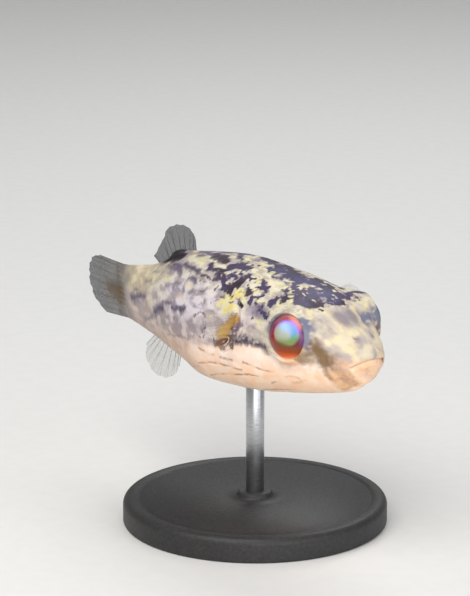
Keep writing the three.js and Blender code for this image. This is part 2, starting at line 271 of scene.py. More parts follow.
def near_path(path, width):
    """1 on a line on both flanks, falling off over width in millimetres."""
    radius = 0.5 * (half_width(skin_s) + crown_height(skin_s) - widest_height(skin_s))
    return bump(np.sqrt(squared_far(path, skin_s, flank, radius)), width)


def near_place(s, degrees_round, half_length, half_degrees):
    """1 in the middle of an oval mark on both flanks, 0.5 on its edge."""
    far = ((skin_s - s) / half_length) ** 2 + ((flank - degrees_round) / half_degrees) ** 2
    return 0.5 ** far


GILL_SLIT = ((13.35, 146), (12.95, 155), (12.95, 164), (13.3, 172), (13.8, 180))
CHIN_FOLD = ((3.0, 176), (2.75, 190), (2.3, 205), (1.9, 225), (2.2, 250), (2.4, 270))
BELLY_CREASES = (
    ((9.0, 199.5), (10.4, 197.5), (11.4, 194), (12.4, 190.5)),
    ((13.9, 190.6), (14.8, 190), (15.8, 190.6)),
    ((16.8, 189.8), (17.6, 191), (18.3, 188.4), (19.2, 186.8)),
    ((12.9, 200), (14.4, 198.6), (16.3, 198.4), (17.8, 199.8), (19.0, 203), (20.3, 207)),
    ((11.2, 208), (12.3, 205.4), (13.4, 207), (14.8, 209.6), (16.3, 212), (17.6, 216.4), (19.4, 224)),
    ((9.3, 214.5), (10.0, 218)),
    ((8.0, 232), (10.5, 235), (12.5, 237)),
    ((13.5, 238), (15.5, 243), (17.5, 246)),
    ((5.0, 246), (8.0, 250)),
    ((9.6, 250), (13.0, 256)),
    ((20.5, 212), (22.5, 219), (24.0, 226)),
)

slit = near_path(GILL_SLIT, 0.13)
creases = sum(near_path(path, 0.10) for path in BELLY_CREASES)
chin = near_path(CHIN_FOLD, 0.28)

lip_y = np.clip(skin_y, -MOUTH_HALF_WIDTH, MOUTH_HALF_WIDTH)
lip_distance = np.hypot(skin_y - lip_y, skin_z - slit_height(lip_y))
is_face = (skin_s < 3) & (mouth_depth == 0)
lips = np.where(is_face, bump(lip_distance - 0.45, 0.34), 0)
lip_seam = np.where(is_face, bump(lip_distance, 0.13), 0)

relief = 0.12 * lips - 0.055 * lip_seam
relief -= 0.26 * slit + 0.05 * creases + 0.10 * chin
relief -= 0.30 * near_place(13.3, 146.3, 0.35, 2.2)                   # the gill's open upper end
relief += 0.30 * near_place(13.9, 163, 0.62, 12)                      # the pectoral fins' fleshy roots
relief += 0.16 * near_place(10.6, 164, 2.2, 15)                       # the gill cover
relief += 0.14 * near_place(2.3, 150, 1.0, 24)                        # the cheeks
relief -= 0.28 * near_place(3.2, 122, 1.1, 22)                        # the dip between cheek and brow
relief += 0.35 * near_place(29.0, 90, 2.6, 7)                         # under the dorsal fin
relief += 0.30 * near_place(31.4, 270, 2.2, 8)                        # under the anal fin
nostril_far = np.hypot((skin_s - 1.3), np.radians(flank - 113) * 2.6)
relief += 0.16 * bump(nostril_far, 0.36) - 0.26 * bump(nostril_far, 0.15)
relief += 0.05 * noise_field(local_mm, 2.6, 3.0) + 0.022 * noise_field(local_mm, 0.8, 7.0)
relief += 0.008 * noise_field(local_mm, 0.33, 11.0) * (skin_s < 26)
relief = relief * (mouth_depth == 0) * (1 - beyond)

skin_local = skin_local + normals * relief[..., None]

# Round each eye the skin lies close on the ball in a thin lid, with a fine groove outside it, and
# inside the lid it drops into the socket.
eye_far = np.full(skin_s.shape, 9.0)
eye_clock = np.zeros(skin_s.shape)      # which way from the eye: 0 o'clock up, 3 in front
for side in (-1, 1):
    axis = eye_axis[side]
    from_eye = skin_local - eye_centre[side]
    height = from_eye @ axis
    flat = from_eye - height[..., None] * axis
    fore = np.maximum(flat[..., 0], 0)
    across = np.where(height > -1.2, np.sqrt((flat**2).sum(-1) + 0.22 * fore**2), 9.0)
    clock = np.degrees(np.arctan2(flat[..., 0], flat[..., 2])) / 30 % 12
    eye_clock = np.where(across < eye_far, clock, eye_clock)
    eye_far = np.minimum(eye_far, across)
    outside = across - EYE_OPENING
    seat = 0.84 + 0.10 * bump(outside - 0.16, 0.15) - 0.10 * bump(outside - 0.55, 0.2)
    snug = np.where(outside < 0, 1, bump(outside, 0.55))
    drop = 0.5 * np.clip((0.06 - outside) / 0.45, 0, 1) ** 1.2
    skin_local = skin_local + axis * (snug * (seat - height) - drop)[..., None]


def mesh_object(name, points, faces):
    """A mesh in metres from points in millimetres."""
    mesh = bpy.data.meshes.new(name)
    mesh.from_pydata((points.reshape(-1, 3) * MM).tolist(), [], faces)
    mesh.polygons.foreach_set("use_smooth", [True] * len(mesh.polygons))
    mesh.update()
    piece = bpy.data.objects.new(name, mesh)
    bpy.context.scene.collection.objects.link(piece)
    return piece


def tube_faces(rings, around):
    """Faces between rings of points that follow one another."""
    faces = []
    for i in range(rings - 1):
        for j in range(around):
            k = (j + 1) % around
            faces.append((i * around + j, (i + 1) * around + j, (i + 1) * around + k, i * around + k))
    return faces


rings = skin_s.shape[0]
faces = tube_faces(rings, AROUND)
faces.append(tuple(range(AROUND)))
faces.append(tuple(reversed(range((rings - 1) * AROUND, rings * AROUND))))
skin = mesh_object("skin", tilt(skin_local), faces)


def unwrap_rings(piece, around, lengths):
    """A UV map that runs along the rings and round them."""
    layer = piece.data.uv_layers.new(name="OFBake")
    uv = np.zeros((len(piece.data.loops), 2))
    corner = 0
    for polygon in piece.data.polygons:
        first = polygon.vertices[0]
        if len(polygon.vertices) == 4:
            i, j = divmod(first, around)
            for di, dj in ((0, 0), (1, 0), (1, 1), (0, 1)):
                uv[corner] = lengths[i + di], (j + dj) / around
                corner += 1
        else:
            for n in range(len(polygon.vertices)):
                uv[corner] = lengths[polygon.vertices[n] // around], 0.5
                corner += 1
    layer.data.foreach_set("uv", (uv * 0.98 + 0.01).ravel())


ring_steps = np.linalg.norm(np.diff(skin_local, axis=0), axis=-1).mean(1)
ring_lengths = np.concatenate([[0], np.cumsum(ring_steps)])
unwrap_rings(skin, AROUND, ring_lengths / ring_lengths[-1])


# The markings are strokes of pigment. Each is a path of (s, degrees), its half width in millimetres
# and its strength. What is on both flanks is given for the right one.
CROWN_STROKES = (      # these lie across the back and aren't repeated
    # the hood from brow to brow
    (((5.7, 70), (6.2, 62), (6.9, 53)), 0.36, 1.0),
    (((5.2, 83.5), (5.8, 80), (6.8, 77), (8.2, 77), (9.6, 80)), 0.5, 1.1),
    (((5.9, 84.5), (7.2, 84.5), (8.6, 86), (9.9, 86)), 0.42, 1.1),
    (((5.5, 101), (6.4, 99), (7.3, 95), (8.2, 92.5)), 0.5, 1.05),
    (((5.4, 106), (6.4, 107), (7.4, 106), (8.3, 106), (9.1, 101), (9.8, 94.5), (10.5, 91)), 0.46, 1.15),
    (((5.9, 106), (6.8, 110), (7.8, 108)), 0.8, 0.8),
    (((6.9, 101.5), (8.3, 98)), 0.5, 1.05),
    (((5.7, 103.5), (6.5, 103)), 0.36, 0.9),
    (((5.2, 86.5), (5.9, 88.3), (6.5, 90.5)), 0.36, 1.0),
    (((6.1, 112), (6.9, 115), (7.7, 112.5)), 0.46, 1.0),
    # the nape, down over its left side
    (((10.1, 99), (10.8, 97)), 0.26, 0.65),
    (((10.3, 90), (11.5, 87), (12.6, 82), (14.2, 73)), 0.58, 1.1),
    (((11.6, 89.5), (12.8, 89), (14.0, 86.5), (15.2, 81.5), (16.4, 74)), 0.64, 1.2),
    (((12.4, 83), (14.4, 76)), 0.62, 1.0),
    (((18.1, 96), (18.8, 91.5), (19.7, 86.5)), 0.3, 0.9),
    (((16.4, 91), (17.1, 86), (17.8, 80)), 0.3, 0.62),
    # smaller marks down the left of the back
    (((8.4, 66), (10.0, 62)), 0.4, 0.8),
    (((12.0, 66), (13.0, 58)), 0.5, 0.9),
    (((15.4, 68), (17.6, 62), (18.4, 54)), 0.45, 0.9),
    (((20.5, 84), (22.6, 79)), 0.45, 0.7),
    (((24.6, 90), (26.2, 84)), 0.35, 0.6),
    (((21.8, 72), (23.4, 66)), 0.4, 0.7),
    (((25.0, 74), (27.4, 68)), 0.45, 0.6),
)
SIDE_STROKES = (
    # behind the eye
    (((8.5, 123), (8.8, 117.5), (9.4, 112.5)), 0.38, 1.0),
    (((9.5, 128.5), (9.9, 133), (9.4, 138)), 0.36, 0.98),
    # small marks beside the ridge of the nape
    (((11.2, 93.5), (12.1, 93)), 0.28, 0.9),
    (((11.2, 97.5), (12.0, 97)), 0.3, 0.45),
    (((13.7, 96), (14.1, 92.5)), 0.26, 1.0),
    (((15.1, 98), (15.5, 94)), 0.2, 0.75),
    # the large ragged blotch behind the gold patch
    (((16.1, 102), (16.7, 103.5), (17.4, 104.5), (17.8, 108.5)), 0.46, 1.2),
    (((16.2, 105), (16.9, 109), (17.7, 112)), 0.42, 1.1),
    (((16.2, 110.5), (15.9, 115.5)), 0.24, 1.05),
    (((17.9, 116), (18.5, 119), (19.3, 119.5)), 0.42, 1.15),
    (((17.4, 121), (18.6, 122.5)), 0.32, 1.0),
    (((15.1, 122), (15.0, 127.5), (15.5, 133.5)), 0.46, 1.35),
    (((15.7, 122), (16.2, 119.5), (17.0, 119)), 0.24, 1.0),
    (((15.7, 132), (16.6, 131.5), (17.6, 129.5), (18.2, 125)), 0.44, 1.1),
    (((16.8, 126), (17.5, 123.5)), 0.34, 0.8),
    # between it and the eye
    (((17.4, 135), (17.7, 138)), 0.2, 0.85),
    (((13.8, 114.8), (14.5, 114.2), (15.1, 112.3)), 0.3, 1.05),
    (((11.2, 118.5), (11.9, 115.5), (12.5, 111.8)), 0.32, 1.05),
    (((11.6, 120), (12.4, 121.5), (12.9, 123)), 0.26, 1.05),
    (((12.95, 131.5), (13.2, 128), (13.5, 124.5)), 0.33, 1.1),
    (((11.15, 127), (11.35, 131.5)), 0.2, 0.85),
    (((11.9, 135), (12.15, 139.5)), 0.26, 1.1),
    (((9.7, 147.5), (10.8, 143.5), (11.2, 140)), 0.42, 0.76),
    (((9.2, 153.5), (9.8, 149.5)), 0.34, 0.66),
    (((11.2, 147), (11.05, 157)), 0.22, 0.72),
    # specks round the pectoral fin
    (((13.9, 140.5), (13.6, 142.5)), 0.2, 0.8),
    (((14.1, 143.5), (14.9, 145.3)), 0.11, 0.8),
    (((16.0, 141.5), (16.7, 142.5)), 0.15, 0.65),
    (((17.0, 147.3), (17.5, 148.8)), 0.16, 0.65),
    (((16.5, 177.2), (16.4, 178.8)), 0.34, 1.0),
    (((18.0, 172), (18.5, 173.4)), 0.15, 0.75),
    (((17.6, 177), (19.4, 178)), 0.12, 0.7),
    # along the back, up to the dorsal fin
    (((19.0, 108), (19.6, 103.5), (20.8, 100), (22.2, 97)), 0.52, 1.15),
    (((20.2, 105), (21.8, 101.5)), 0.42, 1.05),
    (((22.2, 98.5), (23.8, 95.5), (25.2, 92)), 0.45, 0.85),
    (((23.6, 101.5), (24.5, 104)), 0.34, 0.75),
    (((20.4, 118.8), (20.7, 115.5)), 0.42, 1.15),
    # the flank behind the pectoral fin, fainter towards the tail
    (((19.1, 129.6), (19.9, 128.4), (21.0, 128.8)), 0.17, 0.85),
    (((19.5, 133.6), (20.6, 133.2)), 0.16, 0.6),
    (((21.7, 125.5), (23.0, 124.3), (24.2, 122.6), (25.2, 120)), 0.32, 0.9),
    (((15.9, 130), (16.4, 126.5)), 0.28, 0.9),      # in the large blotch
    (((25.5, 130), (26.3, 127.5)), 0.28, 0.75),
    (((8.0, 113), (8.7, 115.5)), 0.3, 0.8),         # above the eye
    (((24.9, 132.5), (25.2, 128), (26.2, 123.5), (27.6, 119)), 0.34, 0.8),
    (((27.4, 105), (28.7, 99.5), (30.0, 95), (31.0, 91.5)), 0.5, 2.6),
    (((26.4, 129), (28.2, 123), (29.2, 118)), 0.42, 0.66),
    (((21.2, 136.6), (22.0, 134.6), (22.9, 135.4)), 0.24, 0.72),
    (((24.0, 141), (26.0, 144.5), (27.6, 148)), 0.22, 0.5),
    (((21.9, 161.5), (23.0, 163.5), (24.2, 165), (25.2, 165.4)), 0.24, 0.9),
    (((25.4, 162), (27.2, 163.6), (28.0, 166)), 0.17, 0.66),
    (((27.4, 168.5), (28.6, 172.5), (29.8, 177.5)), 0.32, 0.96),
    (((29.8, 177), (30.8, 187), (32.4, 197), (34.0, 210), (34.6, 222)), 0.3, 0.56),
    (((32.9, 165), (33.6, 166.5), (35.2, 173), (36.8, 180)), 0.36, 0.74),
    (((34.4, 160), (36.0, 163)), 0.3, 0.5),
    (((30.5, 128), (32.0, 124)), 0.28, 0.5),
    (((31.6, 140), (33.2, 143)), 0.3, 0.5),
    # a painted shade line along the lower flank, where it turns under
    (((19.6, 180), (22.0, 183.5), (24.0, 186.5), (26.6, 194)), 0.2, 0.55),
    (((18.4, 151), (19.4, 155)), 0.24, 0.52),
    (((18.9, 141), (19.8, 145)), 0.2, 0.52),
    (((18.0, 160), (19.6, 163)), 0.2, 0.5),
)
CRISP_STROKES = (      # the gill's black upper end and a dot below the pectoral fin, both painted shade in the slit
    (((12.95, 145.9), (13.25, 144.8)), 0.17, 2.2),
    (((13.55, 178.6), (13.8, 178.8)), 0.15, 2.0),
)
GOLD_STROKES = (      # lime where weak, golden where strong
    # the patch over the pectoral fin
    (((12.9, 140.5), (13.3, 136), (14.0, 131.5)), 0.34, 0.85),
    (((14.2, 136), (14.8, 139.5)), 0.38, 1.4),
    (((14.9, 140), (15.7, 141.6)), 0.26, 0.85),
    (((14.1, 149), (15.1, 151.4)), 0.33, 1.15),
    (((15.6, 147), (16.4, 149.2)), 0.32, 0.9),
    (((12.1, 129.5), (12.5, 125.5)), 0.34, 0.85),
    # flecks between the dark clumps
    (((12.7, 97), (13.5, 93)), 0.32, 0.8),
    (((15.0, 92), (15.6, 89.5)), 0.3, 0.5),
    (((17.5, 94), (18.0, 90)), 0.25, 0.6),
    (((18.4, 111), (19.1, 112)), 0.28, 0.6),
    (((12.9, 117.5), (13.1, 113)), 0.3, 0.55),
    (((9.1, 112), (9.9, 106)), 0.42, 0.55),
    (((10.5, 140), (11.1, 135)), 0.34, 0.6),
    (((8.8, 148), (9.3, 142)), 0.34, 0.5),
    (((8.0, 136), (8.8, 128)), 0.38, 0.5),
    (((9.7, 158.5), (10.6, 157.5)), 0.26, 0.6),
    # the brow and the face
    (((4.9, 127), (5.3, 121), (5.8, 116)), 0.34, 0.6),
    (((2.9, 80), (3.9, 75), (4.8, 69)), 0.34, 0.6),
    (((7.4, 125), (8.2, 118), (8.6, 110)), 0.28, 0.6),
    (((8.0, 107.5), (9.2, 93)), 0.16, 0.6),
    (((2.5, 115), (2.8, 111)), 0.22, 0.6),
    (((1.5, 94), (2.1, 100), (1.7, 110)), 0.3, 0.45),
    (((0.55, 160), (0.6, 200)), 0.3, 0.5),
    (((2.2, 133), (2.4, 143)), 0.3, 0.55),
    (((1.0, 130), (1.2, 150)), 0.4, 0.4),
    # towards the tail
    (((26.6, 140), (28.6, 138)), 0.4, 0.45),
    (((22.4, 113), (23.6, 111)), 0.5, 0.5),
    (((30.5, 138), (32.5, 136)), 0.5, 0.4),
)

VIOLET_STROKES = (
    (((12.8, 162), (13.1, 167), (13.6, 172)), 0.5, 1.35),      # painted shade in the gill slit
    (((11.1, 97), (12.1, 96)), 0.34, 0.6),
    (((9.3, 131), (9.9, 137)), 0.3, 0.6),
    (((9.4, 152), (10.2, 146), (10.9, 141)), 0.5, 0.75),
    (((16.6, 126), (17.6, 125)), 0.35, 0.7),
)
BLUE_SHEEN_AND_SHADE_STROKES = (      # painted sky sheen and shade in blue; these too are drawn on each flank by itself
    (((4.65, 168), (4.6, 156), (4.75, 142), (5.1, 132)), 0.42, 1.35),      # before the right eye: painted shade in the fold before it
    (((4.65, 14), (4.6, 24), (4.75, 34)), 0.42, 1.35),                     # before the left eye: painted shade in the fold before it
    (((3.2, 61), (3.6, 51), (3.9, 43)), 0.45, 1.35),                       # on the left brow: painted sky sheen in its shade
    (((2.7, 55), (2.9, 47)), 0.35, 0.9),
    (((7.0, 80), (9.6, 79)), 0.5, 0.5),                                    # the painted sky sheen of the hood
    (((12.8, 78), (14.4, 71)), 0.8, 0.5),
    (((15.6, 78), (17.2, 70)), 0.5, 0.5),
)
BROWN_STROKES = (
    (((3.0, 181.5), (3.4, 175), (3.85, 167.5)), 0.68, 1.12),      # the dusky bar from eye to chin
    (((3.8, 173), (4.4, 176), (5.3, 178.5)), 0.5, 0.8),
    # the next two darken the edges of the chin fold: painted shade
    (((3.0, 186), (3.1, 196), (2.95, 208)), 0.3, 0.8),
    (((1.05, 202), (1.1, 225), (1.4, 246)), 0.16, 0.4),
    (((1.2, 113), (1.25, 113)), 0.13, 0.6),                       # the nostril
    (((14.2, 173), (15.2, 175), (16.2, 178.5)), 0.34, 0.9),       # under the pectoral fin's root
    (((14.9, 180.6), (15.6, 181), (16.2, 180)), 0.15, 1.3),
)
TAN_STROKES = (
    (((4.6, 184), (7.5, 186)), 0.45, 0.45),
    # painted shade at the near corner of the mouth
    (((0.9, 178), (1.3, 187)), 0.3, 0.7),
    (((6.0, 211), (6.3, 205.5), (7.0, 203.2), (7.6, 203.8)), 0.2, 0.5),      # a faint hook on the throat
    (((5.8, 209.5), (6.5, 214), (7.4, 215.5)), 0.24, 0.55),
)
FIN_ROOT_STROKE = ((((13.45, 158), (13.8, 163), (14.2, 168)), 0.36, 1.25),)

ring_radius = np.linalg.norm(np.diff(skin_local, axis=1, append=skin_local[:, :1]), axis=-1).sum(1)
ring_radius = ring_radius[:, None] / (2 * math.pi)
sharpness = np.interp(skin_s, (14, 22, 30), (1.0, 0.75, 0.6))           # strokes blur towards the tail
tameness = np.interp(skin_s, (2.5, 5.5, 17, 23), (0.3, 1, 1, 0.5))      # face and tail are softly drawn
fine_enough = np.clip((27 - skin_s) / 3, 0, 1)      # the mesh is coarser behind, so the finest lumps fade

# Noise makes a stroke swell and narrow, and wander along the body and round it.
swell = 1 + 1.3 * noise_field(local_mm, 0.75, 61.0) + 0.9 * noise_field(local_mm, 0.36, 63.0) * fine_enough
swell = 1 + (np.clip(swell, 0.3, 1.8) - 1) * tameness
wander = (0.42 * noise_field(local_mm, 0.9, 21.0) + 0.24 * noise_field(local_mm, 0.34, 23.0) * fine_enough,
          3.6 * noise_field(local_mm, 0.9, 31.0) + 2.2 * noise_field(local_mm, 0.34, 33.0) * fine_enough)
wander = tuple(part * tameness for part in wander)


def strokes(marks, both_flanks, shift=(0.0, 0.0), crisp=False):
    """The strongest stroke at each place, 0.5 times its strength at its edge."""
    field = np.zeros(skin_s.shape)
    s, round_body = skin_s + shift[0], degrees + shift[1]
    for n, (path, width, strength) in enumerate(marks):
        paths = [path]
        if both_flanks:     # the left flank's marks are like the right's, none quite the same
            ahead, up = 0.5 * math.sin(3.1 * n), 2.5 * math.cos(5.3 * n)
            paths.append([(at + ahead, 180 - around + up) for at, around in path])
        for one in paths:
            far = squared_far(one, s, round_body, ring_radius)
            if crisp:
                mark = 0.5 ** ((far / width**2) ** 1.5)
            else:
                mark = 0.5 ** ((far / (width * swell) ** 2) ** sharpness)
            field = np.maximum(field, strength * mark)
    return field


def region(s_from, s_to, from_degrees, to_degrees, soft_s, soft_degrees):
    """1 inside a soft-edged panel on both flanks, 0 outside it."""
    def step(value):
        return 1 / (1 + np.exp(-np.clip(value, -30, 30)))
    along = step((skin_s - s_from) / soft_s) * step((s_to - skin_s) / soft_s)
    return along * step((flank - from_degrees) / soft_degrees) * step((to_degrees - flank) / soft_degrees)


ink = np.maximum(strokes(CROWN_STROKES, False, wander), strokes(SIDE_STROKES, True, wander))
ink = np.maximum(ink, strokes(CRISP_STROKES, True, crisp=True))
gold = strokes(GOLD_STROKES, True, wander)

# The pale belly begins at a ragged line along the flank, with a streaked violet-black fringe on it
# between the eye and the gill.
border = np.interp(skin_s, (0, 2, 3.4, 5, 9, 11.5, 14, 17, 21, 27, 32, 39),
                   (176, 178, 184, 181, 179.6, 176.6, 178.4, 181.4, 184, 196, 214, 235))
streaks = noise_field(np.stack([skin_s / 0.2, flank / 5, is_right * 5.3], -1), 1.0, 41.0)
ragged = 1.3 * streaks * np.interp(skin_s, (8, 9, 15, 18), (0.3, 1, 1, 0.3))
ragged += np.interp(skin_s, (8, 9, 14, 17), (3, 1.2, 1.2, 3)) * noise_field(local_mm, 0.8, 43.0)
softness = np.interp(skin_s, (0, 8, 10, 14, 17, 24, 39), (4, 0.9, 0.4, 0.4, 1.0, 4, 9))
belly = 1 / (1 + np.exp(-np.clip((flank - border + ragged) / softness, -30, 30)))
above = (border - flank - ragged) / np.interp(skin_s, (9, 11, 13, 14), (4.2, 6.5, 9.0, 6.0))
fringe = np.clip(1.3 - np.where(above > 0, 0.9, -4.5) * above, 0, 1.3)
specks = noise_field(local_mm, 0.3, 47.0) + 0.6 * noise_field(local_mm, 0.6, 49.0)
fringe *= np.interp(skin_s, (8.7, 9.3, 12.9, 13.6), (0, 1, 1, 0)) * np.clip(1.05 + 0.8 * specks, 0.3, 1.4)


def by_eye(clock, far, width, hours):
    """1 beside the eye towards the clock's direction, far millimetres outside its opening."""
    turn = np.abs((eye_clock - clock + 6) % 12 - 6)
    return bump(eye_far - EYE_OPENING - far, width) * bump(turn, hours)


# Soft clouds, mostly of pigment; the grey one under the cheek is painted shade and the first two
# pale ones are painted highlights: (s, flank degrees, half length, half width in degrees, strength).
GREY_CLOUDS = (
    (10.3, 148, 1.05, 6.5, 1.3), (3.4, 96, 1.1, 10, 1.1), (26.6, 123, 1.9, 10, 0.75),
    (2.3, 80, 0.8, 5, 0.75), (1.9, 47, 0.8, 12, 0.7), (1.7, 85, 0.8, 6, 0.7),
    (10.8, 170, 2.2, 6, 0.35), (11.9, 158, 0.7, 8, 0.35), (5.2, 96, 0.6, 4, 0.45),
    (3.8, 120, 1.1, 14, 0.5), (3.4, 140, 0.8, 9, 0.5), (19.5, 78, 2.5, 12, 0.55),
    (24.0, 84, 2.5, 9, 0.5), (22.0, 172, 3.0, 6, 0.4), (35.4, 178, 3.2, 11, 0.75),
    (28.0, 186, 3.5, 8, 0.45), (38.5, 150, 1.2, 30, 0.35), (18.8, 112, 0.5, 2.5, 0.3),
    (30.5, 96, 2.0, 10, 0.5), (26.0, 98, 1.2, 5, 0.45), (1.1, 112, 0.25, 9, 0.7),
    # the first below is the painted shade under the cheek
    (2.1, 171, 0.9, 8, 0.6), (4.1, 136, 0.9, 15, 0.5),
)
PALE_CLOUDS = (
    # the first two are painted highlights, on the cheek and on the far brow
    (1.8, 142, 0.9, 18, 0.6), (5.2, 50, 0.9, 10, 1.2), (6.3, 131, 0.7, 4, 0.5),
    (2.9, 154, 0.35, 5, 0.9), (11.5, 110, 0.6, 5, 0.9), (10.4, 123, 0.5, 6, 0.5),
    (22.15, 141.8, 0.6, 3.6, 0.7), (12.2, 152, 0.5, 3, 0.5), (26.4, 156, 2.2, 6, 0.4),
    (11.9, 184, 2.0, 3.4, 0.6), (13.4, 150.8, 0.4, 1.6, 0.9), (23.5, 153, 2.0, 5, 0.5),
    (17.4, 161.5, 1.1, 5, 0.5), (15.2, 145.5, 1.2, 7, 0.85),
)


def clouds(marks):
    """The strongest cloud at each place."""
    return np.max([strength * near_place(*oval) for *oval, strength in marks], axis=0)


# a soft grey ring round a pale spot, far back on the flank
ring_far = np.hypot((skin_s - 22.15) / 1.15, (flank - 141.8) / 6.2)
ring = 0.95 * bump(ring_far - 1, 0.36) * np.clip(0.8 + 1.4 * noise_field(local_mm, 0.9, 67.0), 0.3, 1.1)
eyelid_shade = np.maximum(0.9 * by_eye(10.4, 0.0, 0.15, 1.6), 0.6 * by_eye(12, 0.35, 0.35, 0.9))
grey = np.maximum(np.maximum(clouds(GREY_CLOUDS), eyelid_shade), ring)
eyelid_ring = 0.4 * bump(eye_far - EYE_OPENING - 0.34, 0.28) * np.interp(flank, (140, 165), (0, 1))
pale = np.maximum(clouds(PALE_CLOUDS), eyelid_ring)
# peach under the eye: partly the skin's own colour, partly painted light lifting the groove's shade
lid = np.maximum(1.0 * by_eye(5.7, 0.3, 0.4, 1.3), 0.6 * by_eye(4.2, 0.15, 0.25, 0.8))

violet = strokes(VIOLET_STROKES, True, wander)
blue = strokes(BLUE_SHEEN_AND_SHADE_STROKES, False)
brown = strokes(BROWN_STROKES, True)
fin_root = strokes(FIN_ROOT_STROKE, True)
# painted shade: the tan fold between chin and throat, and an orange-tan band along the lips
chin_band = np.maximum(0.9 * region(0.88, 3.05, 172, 258, 0.15, 4), 0.6 * region(-1, 1.0, 176, 300, 0.2, 6))
lip_edge = bump(lip_distance, 0.32) * is_face * np.interp(skin_y, (-1.9, -1.0, 0, 1), (0.6, 0.55, 0.2, 0.1))
tan = np.maximum(np.maximum(chin_band, strokes(TAN_STROKES, True)), lip_edge)

# Fine dark lines, painted shade: the creases, the gill slit, the mouth and the nostrils.
line = strokes([(path, 0.09, 1.15) for path in BELLY_CREASES], True, [0.25 * part for part in wander], True)
line = line * np.clip(0.75 + 1.7 * noise_field(local_mm, 1.1, 53.0), 0.2, 1.1)
line = np.maximum(np.clip(line, 0, 1), 0.5 * slit)
lip_line = bump(lip_distance, 0.14) * is_face
lip_line *= np.interp(skin_y, (-2.0, -1.2, 0.2, 1.2, 1.7), (0.2, 0.12, 0.03, 0.1, 0.9))
in_mouth = (mouth_depth > 0) * np.interp(skin_y, (-1.2, 0.0, 0.9, 1.4), (0.3, 0.1, 0.2, 1.0))
line = np.maximum(line, np.maximum(lip_line, in_mouth))
line = np.maximum(line, 0.5 * bump(nostril_far, 0.17))
# painted shade in the dimple at the far corner of the mouth
mouth_corner = np.hypot(skin_y - 1.75, skin_z - slit_height(1.75) + 0.05)
ink = np.maximum(ink, 1.8 * bump(mouth_corner, 0.26) * (skin_s < 3))

# Broad changes of the ground colour.
flank_lilac = np.interp(skin_s, (8, 11, 16, 24, 31, 39), (0.35, 0.6, 0.75, 1.0, 0.6, 0.15))
flank_lilac *= np.interp(flank, (96, 128, 152), (0.1, 0.4, 1))
face_lilac = np.interp(skin_s, (2, 3.4, 5, 6), (0, 0.5, 0.5, 0))
face_lilac *= np.interp(flank, (95, 115, 150), (0.2, 1, 0.4))
throat = np.maximum(np.interp(flank, (186, 204), (0, 1)), is_face * bump(lip_distance, 0.6))
tail_end = np.clip((skin_s - 36.2) / 4.2 + 0.2 * noise_field(local_mm, 1.3, 71.0), 0, 1)


def store(mesh, name, values):
    """Keeps a number for each point of the mesh, for a material or a node tree to read."""
    attribute = mesh.attributes.new(name, "FLOAT", "POINT")
    attribute.data.foreach_set("value", np.ravel(values).astype(np.float32))


for name, field in {
        "ink": ink, "gold": gold, "belly": belly, "grey": grey, "blue": blue, "pale": pale, "brown": brown,
        "tan": tan, "line": line, "fin_root": fin_root, "violet": violet, "fringe": fringe, "lid": lid,
        "lilac": np.maximum(flank_lilac, face_lilac),
        "low": throat,
        "tail": np.clip((skin_s - 27) / 8, 0, 1),
        "tail_end": tail_end,
        "tail_mark": 0.95 * near_place(41.9, 187, 1.9, 25),
        "soft": np.interp(skin_s, (16, 24), (0, 1)),
        "under": np.interp(flank, (156, 180), (0, 1)),
        "face": np.interp(skin_s, (0, 4.2, 6.0), (1, 0.85, 0)) * np.interp(flank, (80, 100), (0.7, 1)),
        "crown_sky_sheen": np.clip((100 - flank) / 12, 0, 1)}.items():
    store(skin.data, name, field)


def linear(hex_colour):
    """An sRGB hex colour as a linear colour for a socket."""
    channels = [int(hex_colour[i:i + 2], 16) / 255 for i in (1, 3, 5)]
    return (*(c / 12.92 if c <= 0.04045 else ((c + 0.055) / 1.055) ** 2.4 for c in channels), 1.0)


# Which settings and which output this scene asks of a kind of node, unless a call says otherwise.
USUAL = {
    "Mix": ({"data_type": "RGBA"}, 2),
    "MapRange": ({"interpolation_type": "SMOOTHSTEP"}, 0),
    "Attribute": ({}, "Fac"),
    "TexCoord": ({}, "Object"),
}


def add(tree, kind, inputs=None, output=None, **settings):
    """Adds a node with its settings and links and returns one of its outputs. What goes into an input
    is a number, a hex colour or another node's output."""
    usual_settings, usual_output = USUAL.get(kind, ({}, 0))
    node = tree.nodes.new(kind if "Node" in kind else "ShaderNode" + kind)
    for key, value in {**usual_settings, **settings}.items():
        setattr(node, key, value)
    for key, value in (inputs or {}).items():
        if isinstance(value, bpy.types.NodeSocket):
            tree.links.new(value, node.inputs[key])
        elif isinstance(value, str) and value.startswith("#"):
            node.inputs[key].default_value = linear(value)
        else:
            node.inputs[key].default_value = value
    if node.outputs:
        return node.outputs[usual_output if output is None else output]


def new_material(name):
    material = bpy.data.materials.new(name)
    material.use_nodes = True
    material.node_tree.nodes.clear()
    return material, material.node_tree


def millimetres(tree):
    """The place on the object, in millimetres."""
    return add(tree, "Mapping", {"Vector": add(tree, "TexCoord"), "Scale": (1000, 1000, 1000)})


def weighted(tree, constant, *terms):
    """The constant plus each term's value times its weight."""
    total = constant
    for value, weight in terms:
        total = add(tree, "Math", {0: value, 1: weight, 2: total}, operation="MULTIPLY_ADD")
    return total


def shade(tree, value, low, high, under, over, strength=1.0):
    """Lays one colour over another, not at all where the value is low and with its strength where high."""
    share = add(tree, "MapRange", {"Value": value, "From Min": low, "From Max": high, "To Max": strength})
    return add(tree, "Mix", {0: share, 6: under, 7: over})


def paint(tree, under, name, over, loose, strength=0.9, low=0.1, high=1.0):
    """Lays a pigment on where the named attribute is strong, its edge loosened by noise."""
    field = weighted(tree, 0, (add(tree, "Attribute", attribute_name=name), 1), (loose, 1))
    return shade(tree, field, low, high, under, over, strength)


def where(tree, name, under, over, strength=1.0):
    """Lays one colour over another as far as the named attribute says."""
    share = weighted(tree, 0, (add(tree, "Attribute", attribute_name=name), strength))
    return add(tree, "Mix", {0: share, 6: under, 7: over})


